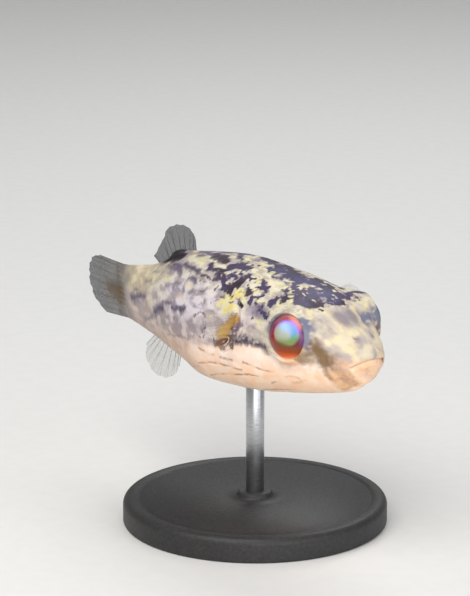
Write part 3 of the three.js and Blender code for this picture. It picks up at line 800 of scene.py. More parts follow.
def skin_material():
    """Wet scaleless skin: pigment cells in a thin clear skin, dark ones in clumps over cream and gold.
    The eye sees soft-edged blotches, a faint glow from the flesh below and a film of wet gloss."""
    material, tree = new_material("wet_scaleless_skin")
    mm = millimetres(tree)
    # clouds of pigment are drawn out along the body and fall a little towards the tail
    drawn = add(tree, "Mapping", {"Vector": mm, "Rotation": (0, 0.2, 0), "Scale": (0.5, 1, 1)})
    fine = add(tree, "TexNoise", {"Vector": mm, "Scale": 3.0, "Detail": 4, "Roughness": 0.62})
    soft = add(tree, "TexNoise", {"Vector": mm, "Scale": 0.8, "Detail": 2})
    broad = add(tree, "TexNoise", {"Vector": mm, "Scale": 0.3, "Detail": 2})
    marble = add(tree, "TexNoise", {"Vector": drawn, "Scale": 1.3, "Detail": 3, "Roughness": 0.55})
    cloud = add(tree, "TexNoise", {"Vector": drawn, "Scale": 0.95, "Detail": 1.5})
    loose = weighted(tree, -0.25, (fine, 0.5))
    looser = weighted(tree, -0.6, (fine, 1.2))

    cream = shade(tree, marble, 0.38, 0.62, "#b5a98c", "#ddd6b8")
    cream = shade(tree, fine, 0.55, 0.75, cream, "#dfd99b")
    cream = shade(tree, marble, 0.46, 0.34, cream, "#a0949a", 0.8)
    cloudy = shade(tree, cloud, 0.36, 0.57, "#8b809a", "#dad1da")
    cloudy = shade(tree, fine, 0.54, 0.74, cloudy, "#d9cdbb")
    warm = shade(tree, cloud, 0.37, 0.58, "#978785", "#cdbdb8")
    cloudy = where(tree, "under", cloudy, warm, 0.75)
    ground = where(tree, "lilac", cream, cloudy)
    stalk = shade(tree, cloud, 0.38, 0.62, "#bcae94", "#dacdb1")
    mauve = shade(tree, cloud, 0.38, 0.62, "#ad9b96", "#d2beb7")
    stalk = where(tree, "under", stalk, mauve)
    ground = where(tree, "tail", ground, stalk)
    ground = where(tree, "tail_end", ground, "#78736f")
    bare = shade(tree, cloud, 0.36, 0.6, "#afa39f", "#d4c7ae")
    ground = where(tree, "face", ground, bare)
    # pale pigment, and the painted highlights on the cheek and the far brow
    ground = paint(tree, ground, "pale", "#e2d3b4", loose, 1.0, 0.05, 1.0)
    lime = where(tree, "face", "#dcd598", "#e6d3a3")
    ground = paint(tree, ground, "gold", lime, looser, 0.8, 0.05, 0.75)
    ground = paint(tree, ground, "gold", "#e2cb62", looser, 0.78, 0.6, 1.3)
    # grey pigment, with the painted shade round the eyelid and under the cheek
    ground = paint(tree, ground, "grey", "#7c7380", loose, 0.85, 0.1, 1.0)
    # painted light in blue: sky sheen on the hood and left brow, shade before the eyes
    ground = paint(tree, ground, "blue", "#5a6484", loose, 0.8, 0.1, 1.2)
    # violet pigment, and the painted shade in the gill slit
    ground = paint(tree, ground, "violet", "#5f4d72", looser, 0.8, 0.2, 1.1)

    # clumps of dark cells: loose and mauve at their edges, packed and nearly black in their middles
    ink = add(tree, "Attribute", attribute_name="ink")
    clumps = weighted(tree, -0.975, (ink, 1), (fine, 1.25), (marble, 0.7))
    blurred = weighted(tree, -0.39, (ink, 1), (fine, 0.5), (marble, 0.28))
    sharp = add(tree, "MapRange", {"Value": clumps, "From Min": 0.36, "From Max": 0.78, "To Max": 0.96})
    faint = add(tree, "MapRange", {"Value": blurred, "From Min": 0.15, "From Max": 1.05, "To Max": 0.96})
    packed = where(tree, "soft", sharp, faint)
    dark = shade(tree, broad, 0.42, 0.58, "#453d5a", "#3c313c")
    # painted reflection: the dark clumps on the top of the body take a blue sheen of sky
    dark = where(tree, "crown_sky_sheen", dark, "#41447a", 0.5)
    dark = shade(tree, clumps, 1.0, 1.7, dark, "#151117")
    back = shade(tree, clumps, 0.15, 0.55, ground, "#887c8a", 0.5)
    back = add(tree, "Mix", {0: packed, 6: back, 7: dark})
    back = paint(tree, back, "fringe", "#43384f", looser, 0.95, 0.12, 1.05)
    # stray single cells, here and there
    cells = add(tree, "TexVoronoi", {"Vector": mm, "Scale": 3.4})
    flocks = add(tree, "MapRange", {"Value": soft, "From Min": 0.48, "From Max": 0.6, "To Max": 0.5})
    back = shade(tree, cells, 0.2, 0.08, back, "#5d5058", flocks)

    peach = shade(tree, soft, 0.35, 0.65, "#f4d6bf", "#fbe6d8")
    yellow_peach = shade(tree, soft, 0.35, 0.65, "#ffd3b0", "#ffe1c8")
    peach = where(tree, "low", peach, yellow_peach)
    peach = where(tree, "pale", peach, "#fde9dc", 0.8)
    rear = shade(tree, soft, 0.35, 0.65, "#c7a28c", "#d9bba4")
    peach = shade(tree, add(tree, "Attribute", attribute_name="soft"), 0.35, 1.0, peach, rear)
    peach = where(tree, "tail", peach, "#b09888")
    peach = where(tree, "tail_end", peach, "#78736f")
    peach = paint(tree, peach, "ink", "#54403e", loose, 0.8, 0.35, 0.9)

    colour = where(tree, "belly", back, peach)
    # peach under the eye, partly painted light over the groove's shade
    colour = paint(tree, colour, "lid", "#f7c090", loose, 0.8)
    # tan: mostly the painted shade of the chin fold and the lips, with faint marks on the throat
    tanned = shade(tree, marble, 0.4, 0.6, "#bf967d", "#dfb387")
    tanned = where(tree, "low", "#b99a88", tanned)
    colour = paint(tree, colour, "tan", tanned, loose, 0.9, 0.05, 0.95)
    # brown pigment; along the chin fold's edges it is painted shade
    colour = paint(tree, colour, "brown", "#785c3c", loose, 0.9, 0.1, 1.1)
    olive = shade(tree, fine, 0.35, 0.65, "#a07f47", "#c29a55")
    colour = paint(tree, colour, "fin_root", olive, loose, 1.0, 0.25, 0.85)
    colour = paint(tree, colour, "tail_mark", "#67502f", loose, 1.0, 0.1, 0.9)
    # the painted shade of the creases, the gill slit, the mouth and the nostrils
    colour = where(tree, "line", colour, "#83593f", 0.7)

    # pores and folds finer than the mesh, about 0.2 mm across
    pores = add(tree, "TexVoronoi", {"Vector": mm, "Scale": 4.5})
    grain = weighted(tree, 0, (pores, 0.5), (fine, 0.6))
    shader = add(tree, "BsdfPrincipled", {
        "Base Color": colour, "Roughness": weighted(tree, 0.32, (fine, 0.18)), "IOR": 1.4,
        "Normal": add(tree, "Bump", {"Strength": 0.3, "Distance": 0.00006, "Height": grain}),
        "Specular IOR Level": 0.12, "Subsurface Weight": 0.12, "Subsurface Radius": (1.0, 0.45, 0.3),
        "Subsurface Scale": 0.0006, "Coat Weight": 0.05, "Coat Roughness": 0.15, "Coat IOR": 1.33})
    add(tree, "OutputMaterial", {"Surface": shader})
    return material


skin.data.materials.append(skin_material())
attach(skin, "root")
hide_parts("snout", "lower_jaw", "head", "trunk", "belly", "tail_stalk")


# ---- the eyes ----------------------------------------------------------------------------------
# A flattened ball under a clear domed cornea: a wine-red iris, orange below and violet in front,
# round a wide pupil painted with the pale, blue and green light it throws back. The skin's lids hold its
# edge.

EYE_RINGS = 48
EYE_AROUND = 96
PUPIL_FORE = 0.36        # the pupil looks a little forwards and up from the middle of the ball
PUPIL_UP = 0.38
PUPIL_LENGTH = 1.32
PUPIL_HEIGHT = 1.22
DOME_HEIGHT = 0.13
DOME_WIDTH = 0.85


def capped_tube_faces(rows, around):
    """Faces of a tube whose ends are closed round two more points, which follow the rings."""
    faces = tube_faces(rows, around)
    first, last = rows * around, (rows - 1) * around
    for j in range(around):
        k = (j + 1) % around
        faces.append((first, j, k))
        faces.append((first + 1, last + k, last + j))
    return faces


def eye_mesh(name, side):
    across = eye_axis[side]
    up = np.array([0, 0, 1.0]) - across * across[2]
    up /= np.linalg.norm(up)
    fore = np.cross(across, up) * side
    polar = np.linspace(0, math.pi, EYE_RINGS + 1)[1:-1]
    turn = np.arange(EYE_AROUND) * 2 * math.pi / EYE_AROUND
    polar, turn = np.meshgrid(polar, turn, indexing="ij")
    u, v = EYE_RADIUS * np.sin(polar) * np.cos(turn), EYE_RADIUS * np.sin(polar) * np.sin(turn)
    from_pupil = np.hypot((u - PUPIL_FORE) / PUPIL_LENGTH, (v - PUPIL_UP) / PUPIL_HEIGHT)
    height = EYE_HALF_DEPTH * np.cos(polar)
    # the cornea domes over the pupil, and the iris dips a little round it
    dome = DOME_HEIGHT * bump(from_pupil, DOME_WIDTH) - 0.04 * bump(from_pupil - 1.1, 0.12)
    height += (height > 0) * dome
    points = eye_centre[side] + u[..., None] * fore + v[..., None] * up + height[..., None] * across
    top_from_pupil = math.hypot(PUPIL_FORE / PUPIL_LENGTH, PUPIL_UP / PUPIL_HEIGHT)
    top = EYE_HALF_DEPTH + DOME_HEIGHT * bump(top_from_pupil, DOME_WIDTH)
    poles = eye_centre[side] + np.array([[top], [-EYE_HALF_DEPTH]]) * across
    faces = capped_tube_faces(EYE_RINGS - 1, EYE_AROUND)
    if side > 0:
        faces = [face[::-1] for face in faces]
    piece = mesh_object(name, tilt(np.concatenate([points.reshape(-1, 3), poles])), faces)
    if side < 0:      # its back upper rim is painted in shade
        painted_eye_shade = np.clip(-u - 0.1, 0, 1) * np.clip(v + 1.2, 0, 1)
    else:             # its fore rim is painted in deep shade
        painted_eye_shade = 2 * np.clip((0.93 * u + 0.37 * v - 0.9) / 0.35, 0, 1)
    for key, field in (("fore", u), ("up", v), ("painted_eye_shade", painted_eye_shade)):
        store(piece.data, key, np.concatenate([field.ravel(), [0, 0]]))
    return piece


def eye_material():
    """Cornea over iris and pupil: a hard wet gloss, colours that change across the eye like a film's,
    with a painted reflection on the pupil and a painted glint and painted shade on the rim.
    """
    material, tree = new_material("clear_cornea_over_red_iris")
    mm = millimetres(tree)
    fore, up, painted_eye_shade = (add(tree, "Attribute", attribute_name=name) for name in ("fore", "up", "painted_eye_shade"))
    fibres = add(tree, "TexNoise", {"Vector": mm, "Scale": 5.0, "Detail": 3})      # 0.2 mm long
    p = weighted(tree, -PUPIL_FORE / PUPIL_LENGTH, (fore, 1 / PUPIL_LENGTH))
    q = weighted(tree, -PUPIL_UP / PUPIL_HEIGHT, (up, 1 / PUPIL_HEIGHT))

    def length(first, second):
        squares = weighted(tree, 0, (first, first), (second, second))
        return add(tree, "Math", {0: squares}, operation="SQRT")

    def toward(first, second, clock, low, high):
        """0 to 1 from low to high millimetres in the clock's direction, 0 o'clock up, 3 in front."""
        angle = math.radians(90 - 30 * clock)
        place = weighted(tree, 0, (first, math.cos(angle)), (second, math.sin(angle)))
        return add(tree, "MapRange", {"Value": place, "From Min": low, "From Max": high})

    def tinted(colour, place, tints):
        """Lays tints over the colour. Each is (clock, low, high, hex), as for toward."""
        for clock, low, high, tint in tints:
            colour = add(tree, "Mix", {0: toward(*place, clock, low, high), 6: colour, 7: tint})
        return colour

    ragged = weighted(tree, -0.07, (length(p, q), 1), (fibres, 0.14))
    rim = length(fore, up)

    iris = tinted("#852c3c", (fore, up), (
        (3.5, -0.6, 1.5, "#6c3358"), (4.6, 0.7, 1.7, "#6c2c26"), (8.1, 0.6, 1.5, "#a0222c"),
        (10.2, 0.9, 1.7, "#7c3260"), (11.4, 1.2, 1.8, "#a85a5a"), (1.3, 1.45, 1.85, "#d67f6c"),
        (11.9, 1.85, 2.1, "#84585c")))
    # a painted glint on the upper front of the rim
    iris = shade(tree, rim, 1.95, 2.2, iris, "#b8958c", toward(fore, up, 1.6, 1.2, 2.0))
    iris = tinted(iris, (fore, up), (
        (3.1, 1.5, 1.95, "#6a4070"), (6.2, 0.35, 1.0, "#7e4324"), (6.2, 0.9, 1.5, "#9a3d18"),
        (6.0, 1.3, 1.9, "#e0682c"), (5.8, 1.8, 2.1, "#f7a66a")))
    # painted shade over the rim of the iris
    iris = shade(tree, rim, 1.6, 1.95, iris, "#3b3a52", painted_eye_shade)
    iris = shade(tree, fibres, 0.5, 0.75, iris, "#5a1a24", 0.35)

    # the pupil's painted reflection: pale, blue and green, violet along its upper edge
    shine = tinted("#a9ad9c", (p, q), (
        (0.2, -0.15, 0.6, "#a9c6ef"), (9.0, 0.2, 0.8, "#a8a795"), (2.0, 0.2, 0.8, "#7196f2"),
        (3.4, 0.3, 0.8, "#66a0b6"), (4.6, 0.3, 0.85, "#5a9060"), (6.0, 0.1, 0.8, "#7d8c52"),
        (6.5, 0.6, 0.95, "#6d5330")))
    shine = shade(tree, ragged, 0.72, 0.98, shine, "#a483e6", toward(p, q, 0.6, 0.0, 0.6))
    colour = shade(tree, ragged, 0.88, 1.14, shine, iris)
    colour = shade(tree, painted_eye_shade, 1.0, 2.0, colour, "#5b6278", 0.9)      # where the painted shade is deepest it veils the pupil too
    shader = add(tree, "BsdfPrincipled", {
        "Base Color": colour, "Roughness": 0.3, "IOR": 1.38, "Specular IOR Level": 0.15,
        "Coat Weight": 0.45, "Coat Roughness": 0.03, "Coat IOR": 1.38})
    add(tree, "OutputMaterial", {"Surface": shader})
    return material


cornea = eye_material()
for side, name in ((-1, "right"), (1, "left")):
    eye = eye_mesh(f"eyeball_{name}", side)
    eye.data.materials.append(cornea)
    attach(eye, "root")
    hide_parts(f"eye_{name}")


# ---- the fins in the midplane ------------------------------------------------------------------
# Dorsal, anal and tail fin: a thin clear web of skin stretched over soft, jointed rays, which
# branch towards the fin's edge and rise as fine ridges. Each web's root is buried in the skin.

WEB_HALF_THICKNESS = 0.045
BRANCH_FROM = 0.45       # where along a ray it forks
BRANCH_SPREAD = 0.22     # how far its branches part, of the way to the next ray


def edge_through(points):
    """A flowing curve through the points, at u from 0 to 1."""
    points = np.array(points, float)
    padded = np.concatenate([[2 * points[0] - points[1]], points, [2 * points[-1] - points[-2]]])

    def value(u):
        place = np.clip(u, 0, 1) * (len(points) - 1)
        i = np.clip(np.floor(place).astype(int), 0, len(points) - 2)
        t = (place - i)[..., None]
        a, b, c, d = (padded[i + k] for k in range(4))
        square, cube = 2 * a - 5 * b + 4 * c - d, 3 * b - a - 3 * c + d
        return 0.5 * (2 * b + (c - a) * t + square * t**2 + cube * t**3)
    return value


def web(name, at, ray_count, stain, core):
    """A closed thin sheet over the middle surface at(u, v), rippled between its rays."""
    across, outward = 18 * ray_count, 60      # facets from ray to ray and from root to edge
    u, v = np.meshgrid(np.linspace(0, 1, across + 1), np.linspace(0, 1, outward + 1), indexing="ij")
    between_rays = np.abs(np.sin(math.pi * ray_count * u))
    reach = v * (1 - 0.022 * between_rays * v**6)
    middle = at(u, reach)
    normal = np.cross(np.gradient(middle, axis=0), np.gradient(middle, axis=1))
    normal /= np.maximum(np.linalg.norm(normal, axis=-1, keepdims=True), 1e-9)
    half = WEB_HALF_THICKNESS * (1 - 0.55 * v)
    ripple = 0.05 * between_rays * v * (1 - 2 * (np.floor(u * ray_count + 1e-6) % 2))
    middle = middle + normal * ripple[..., None]
    front, back = middle + normal * half[..., None], middle - normal * half[..., None]
    index = np.arange(u.size).reshape(u.shape)
    faces = []
    for i in range(across):
        for j in range(outward):
            a, b, c, d = index[i, j], index[i + 1, j], index[i + 1, j + 1], index[i, j + 1]
            faces.append((a, b, c, d))
            faces.append((u.size + a, u.size + d, u.size + c, u.size + b))
    rim = [*index[:-1, 0], *index[-1, :-1], *index[:0:-1, -1], *index[0, :0:-1]]
    for a, b in zip(rim, rim[1:] + rim[:1]):
        faces.append((b, a, u.size + a, u.size + b))
    faces = [tuple(int(k) for k in face) for face in faces]
    piece = mesh_object(name, tilt(np.concatenate([front.reshape(-1, 3), back.reshape(-1, 3)])), faces)
    for key, field in (("root_to_edge", v), ("stain", stain(u, v)), ("core", core(u, v))):
        store(piece.data, key, np.tile(field.ravel(), 2))
    return piece


def ray_lines(at, ray_count):
    """The rays' centre lines as mesh edges, each forking once, with their thickness as an attribute."""
    points, edges, widths = [], [], []
    for n in range(ray_count + 1):
        for fork in (-1, 1):
            v = np.linspace(0.0, 0.985, 34)
            parting = np.clip((v - BRANCH_FROM) / (1 - BRANCH_FROM), 0, 1) ** 1.2
            u = np.clip((n + fork * BRANCH_SPREAD * parting) / ray_count, 0, 1)
            first = len(points)
            points.extend(at(u, v))
            widths.extend(1 - 0.75 * v)
            edges.extend((first + k, first + k + 1) for k in range(len(v) - 1))
    return np.array(points), edges, np.array(widths)


def ray_tree(material):
    """Geometry Nodes: every line becomes a round soft ray that thins towards the fin's edge."""
    tree = bpy.data.node_groups.new("soft_fin_rays", "GeometryNodeTree")
    tree.interface.new_socket("Lines", in_out="INPUT", socket_type="NodeSocketGeometry")
    for label, value in (("Ray radius", 0.00007), ("Joint depth", 0.12), ("Joint spacing", 0.0003)):
        socket = tree.interface.new_socket(label, in_out="INPUT", socket_type="NodeSocketFloat")
        socket.default_value = value
    tree.interface.new_socket("Rays", in_out="OUTPUT", socket_type="NodeSocketGeometry")
    start = add(tree, "NodeGroupInput").node.outputs
    lines = add(tree, "GeometryNodeMeshToCurve", {"Mesh": start["Lines"]})
    # the radius swells and narrows along the ray, once for each of its little joints
    along = add(tree, "GeometryNodeSplineParameter", output="Length")
    turns = add(tree, "Math", {0: along, 1: start["Joint spacing"]}, operation="DIVIDE")
    wave = add(tree, "Math", {0: weighted(tree, 0, (turns, 2 * math.pi))}, operation="COSINE")
    joints = weighted(tree, 1, (wave, start["Joint depth"]))
    thickness = add(tree, "GeometryNodeInputNamedAttribute", {"Name": "thickness"}, data_type="FLOAT")
    radius = weighted(tree, 0, (weighted(tree, 0, (thickness, start["Ray radius"])), joints))
    ring = add(tree, "GeometryNodeCurvePrimitiveCircle", {"Resolution": 8, "Radius": 1.0})
    tubes = add(tree, "GeometryNodeCurveToMesh", {
        "Curve": lines, "Profile Curve": ring, "Scale": radius, "Fill Caps": True})
    real = add(tree, "GeometryNodeRealizeInstances", {"Geometry": tubes})
    dressed = add(tree, "GeometryNodeSetMaterial", {"Geometry": real, "Material": material})
    add(tree, "NodeGroupOutput", {"Rays": dressed})
    return tree


def fin_rays(name, at, ray_count, tree, radius):
    points, edges, widths = ray_lines(at, ray_count)
    mesh = bpy.data.meshes.new(name + "_lines")
    mesh.from_pydata((tilt(points) * MM).tolist(), edges, [])
    store(mesh, "thickness", widths)
    lines = bpy.data.objects.new(name + "_lines", mesh)
    bpy.context.scene.collection.objects.link(lines)
    modifier = lines.modifiers.new("rays", "NODES")
    modifier.node_group = tree
    sockets = {item.name: item.identifier for item in tree.interface.items_tree if item.in_out == "INPUT"}
    modifier[sockets["Ray radius"]] = radius
    evaluated = lines.evaluated_get(bpy.context.evaluated_depsgraph_get())
    mesh = bpy.data.meshes.new_from_object(evaluated)
    bpy.data.objects.remove(lines)
    mesh.name = name
    mesh.polygons.foreach_set("use_smooth", [True] * len(mesh.polygons))
    rays = bpy.data.objects.new(name, mesh)
    bpy.context.scene.collection.objects.link(rays)
    return rays


def web_material(name, root_hex, clear_hex, stain_hex, core_hex, alpha, fleshy_to=0.34):
    """Fin web: clear skin a few hundredths of a millimetre thick, peppered with pigment, fleshy and
    more solid at its root and wherever pigment stains it."""
    material, tree = new_material(name)
    mm = millimetres(tree)
    # flecks of pigment 0.4 mm across, a little coarser than real ones so that they show
    fleck = add(tree, "TexNoise", {"Vector": mm, "Scale": 2.4, "Detail": 4, "Roughness": 0.6})
    colour = clear_hex
    solid = weighted(tree, alpha - 0.08, (fleck, 0.16))
    for attribute, raggedness, low, high, pigment, most in (
            ("root_to_edge", 0.2, fleshy_to, 0.3 * fleshy_to, root_hex, 0.9),
            ("stain", 0.5, 0.02, 1.05, stain_hex, 0.93),
            ("core", 0.5, 0.05, 0.8, core_hex, 0.95)):
        field = weighted(tree, -raggedness / 2, (add(tree, "Attribute", attribute_name=attribute), 1),
                         (fleck, raggedness))
        share = add(tree, "MapRange", {"Value": field, "From Min": low, "From Max": high})
        colour = add(tree, "Mix", {0: share, 6: colour, 7: pigment})
        solid = add(tree, "Math", {0: solid, 1: weighted(tree, 0, (share, most))}, operation="MAXIMUM")
    shader = add(tree, "BsdfPrincipled", {
        "Base Color": colour, "Alpha": solid, "Roughness": 0.42, "IOR": 1.36, "Coat Weight": 0.2,
        "Coat Roughness": 0.2,
        "Normal": add(tree, "Bump", {"Strength": 0.3, "Distance": 0.00004, "Height": fleck})})
    add(tree, "OutputMaterial", {"Surface": shader})
    return material


def ray_material(name, root_hex, tip_hex, alpha):
    """Soft rays: jointed horny rods under skin, duller and more solid than the web."""
    material, tree = new_material(name)
    # the horny grain, 0.25 mm long
    grain = add(tree, "TexNoise", {"Vector": millimetres(tree), "Scale": 4.0, "Detail": 3})
    shader = add(tree, "BsdfPrincipled", {
        "Base Color": shade(tree, grain, 0.3, 0.7, root_hex, tip_hex), "Alpha": alpha,
        "Roughness": 0.45, "IOR": 1.45,
        "Normal": add(tree, "Bump", {"Strength": 0.3, "Distance": 0.00002, "Height": grain})})
    add(tree, "OutputMaterial", {"Surface": shader})
    return material


ROOT_DEPTH = 0.9      # how deep the fins' roots lie in the flesh


def median_fin(root, edge):
    """Middle surface of a fin whose rays run from root(u), given as s and height, to its edge."""
    def at(u, v):
        u, v = np.broadcast_arrays(u, v)
        root_s, root_height = root(u)
        tip = edge(u)
        s = root_s + (tip[..., 0] - root_s) * v
        return beside(s, 0.0, root_height + (tip[..., 1] - root_height) * v)
    return at


def dorsal_root(u):
    s = 26.3 + 5.5 * u
    return s, crown_height(s) - ROOT_DEPTH


def anal_root(u):
    s = 29.6 + 3.8 * u
    return s, keel_height(s) + ROOT_DEPTH


def caudal_root(u):
    return BODY_LENGTH - 0.6 + 0 * u, CAUDAL_ROOT_TOP - CAUDAL_ROOT_HEIGHT * u


dorsal_edge = edge_through([(26.3, 7.2), (27, 8.2), (28.9, 8.5), (31, 7.8), (32.2, 6.3), (33.9, 4.6)])
anal_edge = edge_through([(30.6, -6.3), (31.6, -7.4), (33.6, -8.1), (35.8, -7.7), (36.8, -6.4), (36.6, -5)])
caudal_edge = edge_through([(45.4, 3), (47.5, 2.4), (48.4, 0.9), (48.3, -0.6), (47.2, -2), (44.8, -3)])


def oval(u, v, at_u, at_v, wide, tall):
    """A soft oval stain on a web, 1 in its middle."""
    return 0.5 ** (((u - at_u) / wide) ** 2 + ((v - at_v) / tall) ** 2)


def dorsal_stain(u, v):
    return 0.8 * oval(u, v, 0.8, 0.1, 0.35, 0.2)


def dorsal_core(u, v):
    return 1.9 * oval(u, v, 0.56, 0.27, 0.26, 0.08)


def anal_stain(u, v):
    return 0.3 * oval(u, v, 0.5, 0.0, 0.5, 0.12)


def no_core(u, v):
    return 0 * u


def caudal_stain(u, v):
    return np.maximum(0.95 * oval(u, v, 0.54, 0.4, 0.26, 0.28), 0.6 * oval(u, v, 0.4, 0.36, 0.4, 0.4))


def caudal_core(u, v):
    return 0.55 * oval(u, v, 0.6, 0.36, 0.18, 0.26)


grey_web = web_material("clear_grey_fin_web", "#625c5a", "#5f6062", "#403c3d", "#141213", 0.62)
pale_web = web_material("clear_pale_fin_web", "#a3968c", "#9a9994", "#7a6a5c", "#7a6a5c", 0.18)
tail_web = web_material("stained_tail_fin_web", "#7c7775", "#606163", "#575048", "#5c431f", 0.66, 0.78)
grey_group = ray_tree(ray_material("grey_soft_rays", "#5c5959", "#787574", 0.5))
pale_group = ray_tree(ray_material("pale_soft_rays", "#96908a", "#aaa59f", 0.3))

for name, surface, ray_count, finish, group, stains in (
        ("dorsal", median_fin(dorsal_root, dorsal_edge), 9, grey_web, grey_group,
         (dorsal_stain, dorsal_core)),
        ("anal", median_fin(anal_root, anal_edge), 8, pale_web, pale_group, (anal_stain, no_core)),
        ("caudal", median_fin(caudal_root, caudal_edge), CAUDAL_RAYS, tail_web, grey_group,
         (caudal_stain, caudal_core))):
    fin = web(f"{name}_web", surface, ray_count, *stains)
    fin.data.materials.append(finish)
    rays = fin_rays(f"{name}_rays", surface, ray_count, group, 0.00005)
    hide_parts(f"{name}_fin")
    for piece in (fin, rays):
        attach(piece, "root")


# ---- the pectoral fins -------------------------------------------------------------------------
# A short fan of soft rays behind each gill slit, orange-tan at its fleshy root, brown along the
# lower rays. It is spread outwards and a little forwards in mid-stroke, and its tips trail.

PECTORAL_RAYS = 13
# its edge from the root: millimetres forwards, outwards and up
pectoral_edge = edge_through([(1.2, 2.7, 0.7), (1.4, 3.5, 0.6), (1.7, 3.8, 0.35), (2.2, 3.5, 0.1),
                              (2.4, 2.4, 0)])


def pectoral_surface(side):
    def at(u, v):
        u, v = np.broadcast_arrays(u, v)
        s = 13.7 + 0.6 * u
        above = np.radians(26 - 24 * u)
        y, z = plain_skin(s, above)
        ahead, outward, up = np.moveaxis(pectoral_edge(u), -1, 0) * v
        ahead = ahead + 1.2 * v * (1 - v)      # the rays bow forwards
        outward = outward - ROOT_DEPTH * (1 - v)
        return beside(s, y * side, z) + np.stack([ahead, side * outward, up], -1)
    return at


def pectoral_stain(u, v):
    """Gold on the upper rays, from the root slantwise towards the edge."""
    t = np.clip(((u - 0.12) * 0.42 + (v - 0.02) * 0.55) / 0.48, 0, 1)
    far = np.hypot(u - 0.12 - 0.42 * t, v - 0.02 - 0.55 * t) / (0.16 + 0.06 * t)
    return 1.25 * 0.5 ** (far**2) * (0.88 + 0.12 * np.cos(2 * math.pi * PECTORAL_RAYS * u))


def pectoral_core(u, v):
    """Brown rings on the lower rays, and a rusty spot at the root."""
    low = np.hypot((u - 0.76) / 0.11, (v - 0.62) / 0.34)
    rings = 0.58 + 0.42 * np.cos(7 * low + 9 * (u - v) + 2)
    return np.maximum(1.3 * 0.5 ** (low**2) * rings, 1.2 * oval(u, v, 0.5, 0.22, 0.05, 0.06))


gold_web = web_material("gold_pectoral_web", "#c39a62", "#b5a99f", "#cba660", "#74503c", 0.12)
brown_rays = ray_material("brown_soft_rays", "#ab9270", "#bdae98", 0.07)
brown_group = ray_tree(brown_rays)
for side, name in ((-1, "right"), (1, "left")):
    surface = pectoral_surface(side)
    fin = web(f"pectoral_web_{name}", surface, PECTORAL_RAYS, pectoral_stain, pectoral_core)
    fin.data.materials.append(gold_web)
    rays = fin_rays(f"pectoral_rays_{name}", surface, PECTORAL_RAYS, brown_group, 0.000035)
    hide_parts(f"pectoral_fin_{name}")
    for piece in (fin, rays):
        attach(piece, "root")


# ---- the stand's base --------------------------------------------------------------------------
# A turned steel disc with a rounded shoulder and a shallow step, powder-coated fine matt black.
# The rod is pressed into a small raised boss at its middle.

def lathe(name, profile, segments):
    """Turns a profile of (radius, height) round the upright axis, closed on the axis at both ends."""
    profile = np.array(profile, float)
    turn = np.arange(segments) * 2 * math.pi / segments
    inner = profile[1:-1]
    ring = np.stack([np.cos(turn), np.sin(turn)], -1)
    points = [(r * x, r * y, z) for r, z in inner for x, y in ring]
    points += [(0, 0, profile[0, 1]), (0, 0, profile[-1, 1])]
    faces = [face[::-1] for face in capped_tube_faces(len(inner), segments)]
    return mesh_object(name, np.array(points), faces)


base_low, base_high = (np.array(corner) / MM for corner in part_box("stand_base"))
rod_low, rod_high = (np.array(corner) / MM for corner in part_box("stand_rod"))
BASE_RADIUS = (base_high[0] - base_low[0]) / 2
BASE_TOP = base_high[2]
ROD_RADIUS = (rod_high[0] - rod_low[0]) / 2


def rounded(centre_r, centre_z, radius, start, end, steps=8):
    """An arc of the profile, angles in degrees from outwards, turning upwards."""
    return [(centre_r + radius * math.cos(math.radians(a)), centre_z + radius * math.sin(math.radians(a)))
            for a in np.linspace(start, end, steps)]


face_height = BASE_TOP - 0.05
step_height = BASE_TOP - 0.15
boss_top = BASE_TOP + 0.55
base_profile = [
    (0, 0), (BASE_RADIUS - 0.8, 0), *rounded(BASE_RADIUS - 0.25, 0.25, 0.25, -90, 0),       # the foot
    *rounded(BASE_RADIUS - 0.7, BASE_TOP - 0.75, 0.7, 0, 90, 12),                           # the shoulder
    (BASE_RADIUS - 1.4, face_height), (BASE_RADIUS - 1.5, step_height),                     # the step
    (BASE_RADIUS - 1.7, step_height), (BASE_RADIUS - 1.8, face_height), (3.0, face_height),
    (ROD_RADIUS + 1.0, BASE_TOP), *rounded(ROD_RADIUS + 0.55, BASE_TOP + 0.25, 0.3, 0, 90, 6),    # the boss
    (ROD_RADIUS, boss_top), (0, boss_top),
]


def coat_material():
    """Powder coat on steel: baked polyester grains, a dry black with a fine orange peel."""
    material, tree = new_material("matt_black_powder_coat")
    mm = millimetres(tree)
    # the orange peel is 0.3 mm across, and the grains 0.17 mm so that they just show
    peel = add(tree, "TexNoise", {"Vector": mm, "Scale": 3.0, "Detail": 3})
    grains = add(tree, "TexVoronoi", {"Vector": mm, "Scale": 6.0})
    height = weighted(tree, 0, (peel, 1), (grains, 0.4))
    shader = add(tree, "BsdfPrincipled", {
        "Base Color": shade(tree, peel, 0.3, 0.7, "#1f1e1f", "#2c2b2b"), "IOR": 1.5,
        "Roughness": weighted(tree, 0.45, (grains, 0.17)),
        "Normal": add(tree, "Bump", {"Strength": 0.4, "Distance": 0.00005, "Height": height})})
    add(tree, "OutputMaterial", {"Surface": shader})
    return material


base = lathe("display_base", base_profile, 128)
base.data.materials.append(coat_material())
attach(base, "root")
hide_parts("stand_base")


# ---- the stand's rod ---------------------------------------------------------------------------
# Ground stainless wire with its ends broken. It is pressed into the boss and stands upright in a
# hole drilled into the fish's belly, where it is glued.

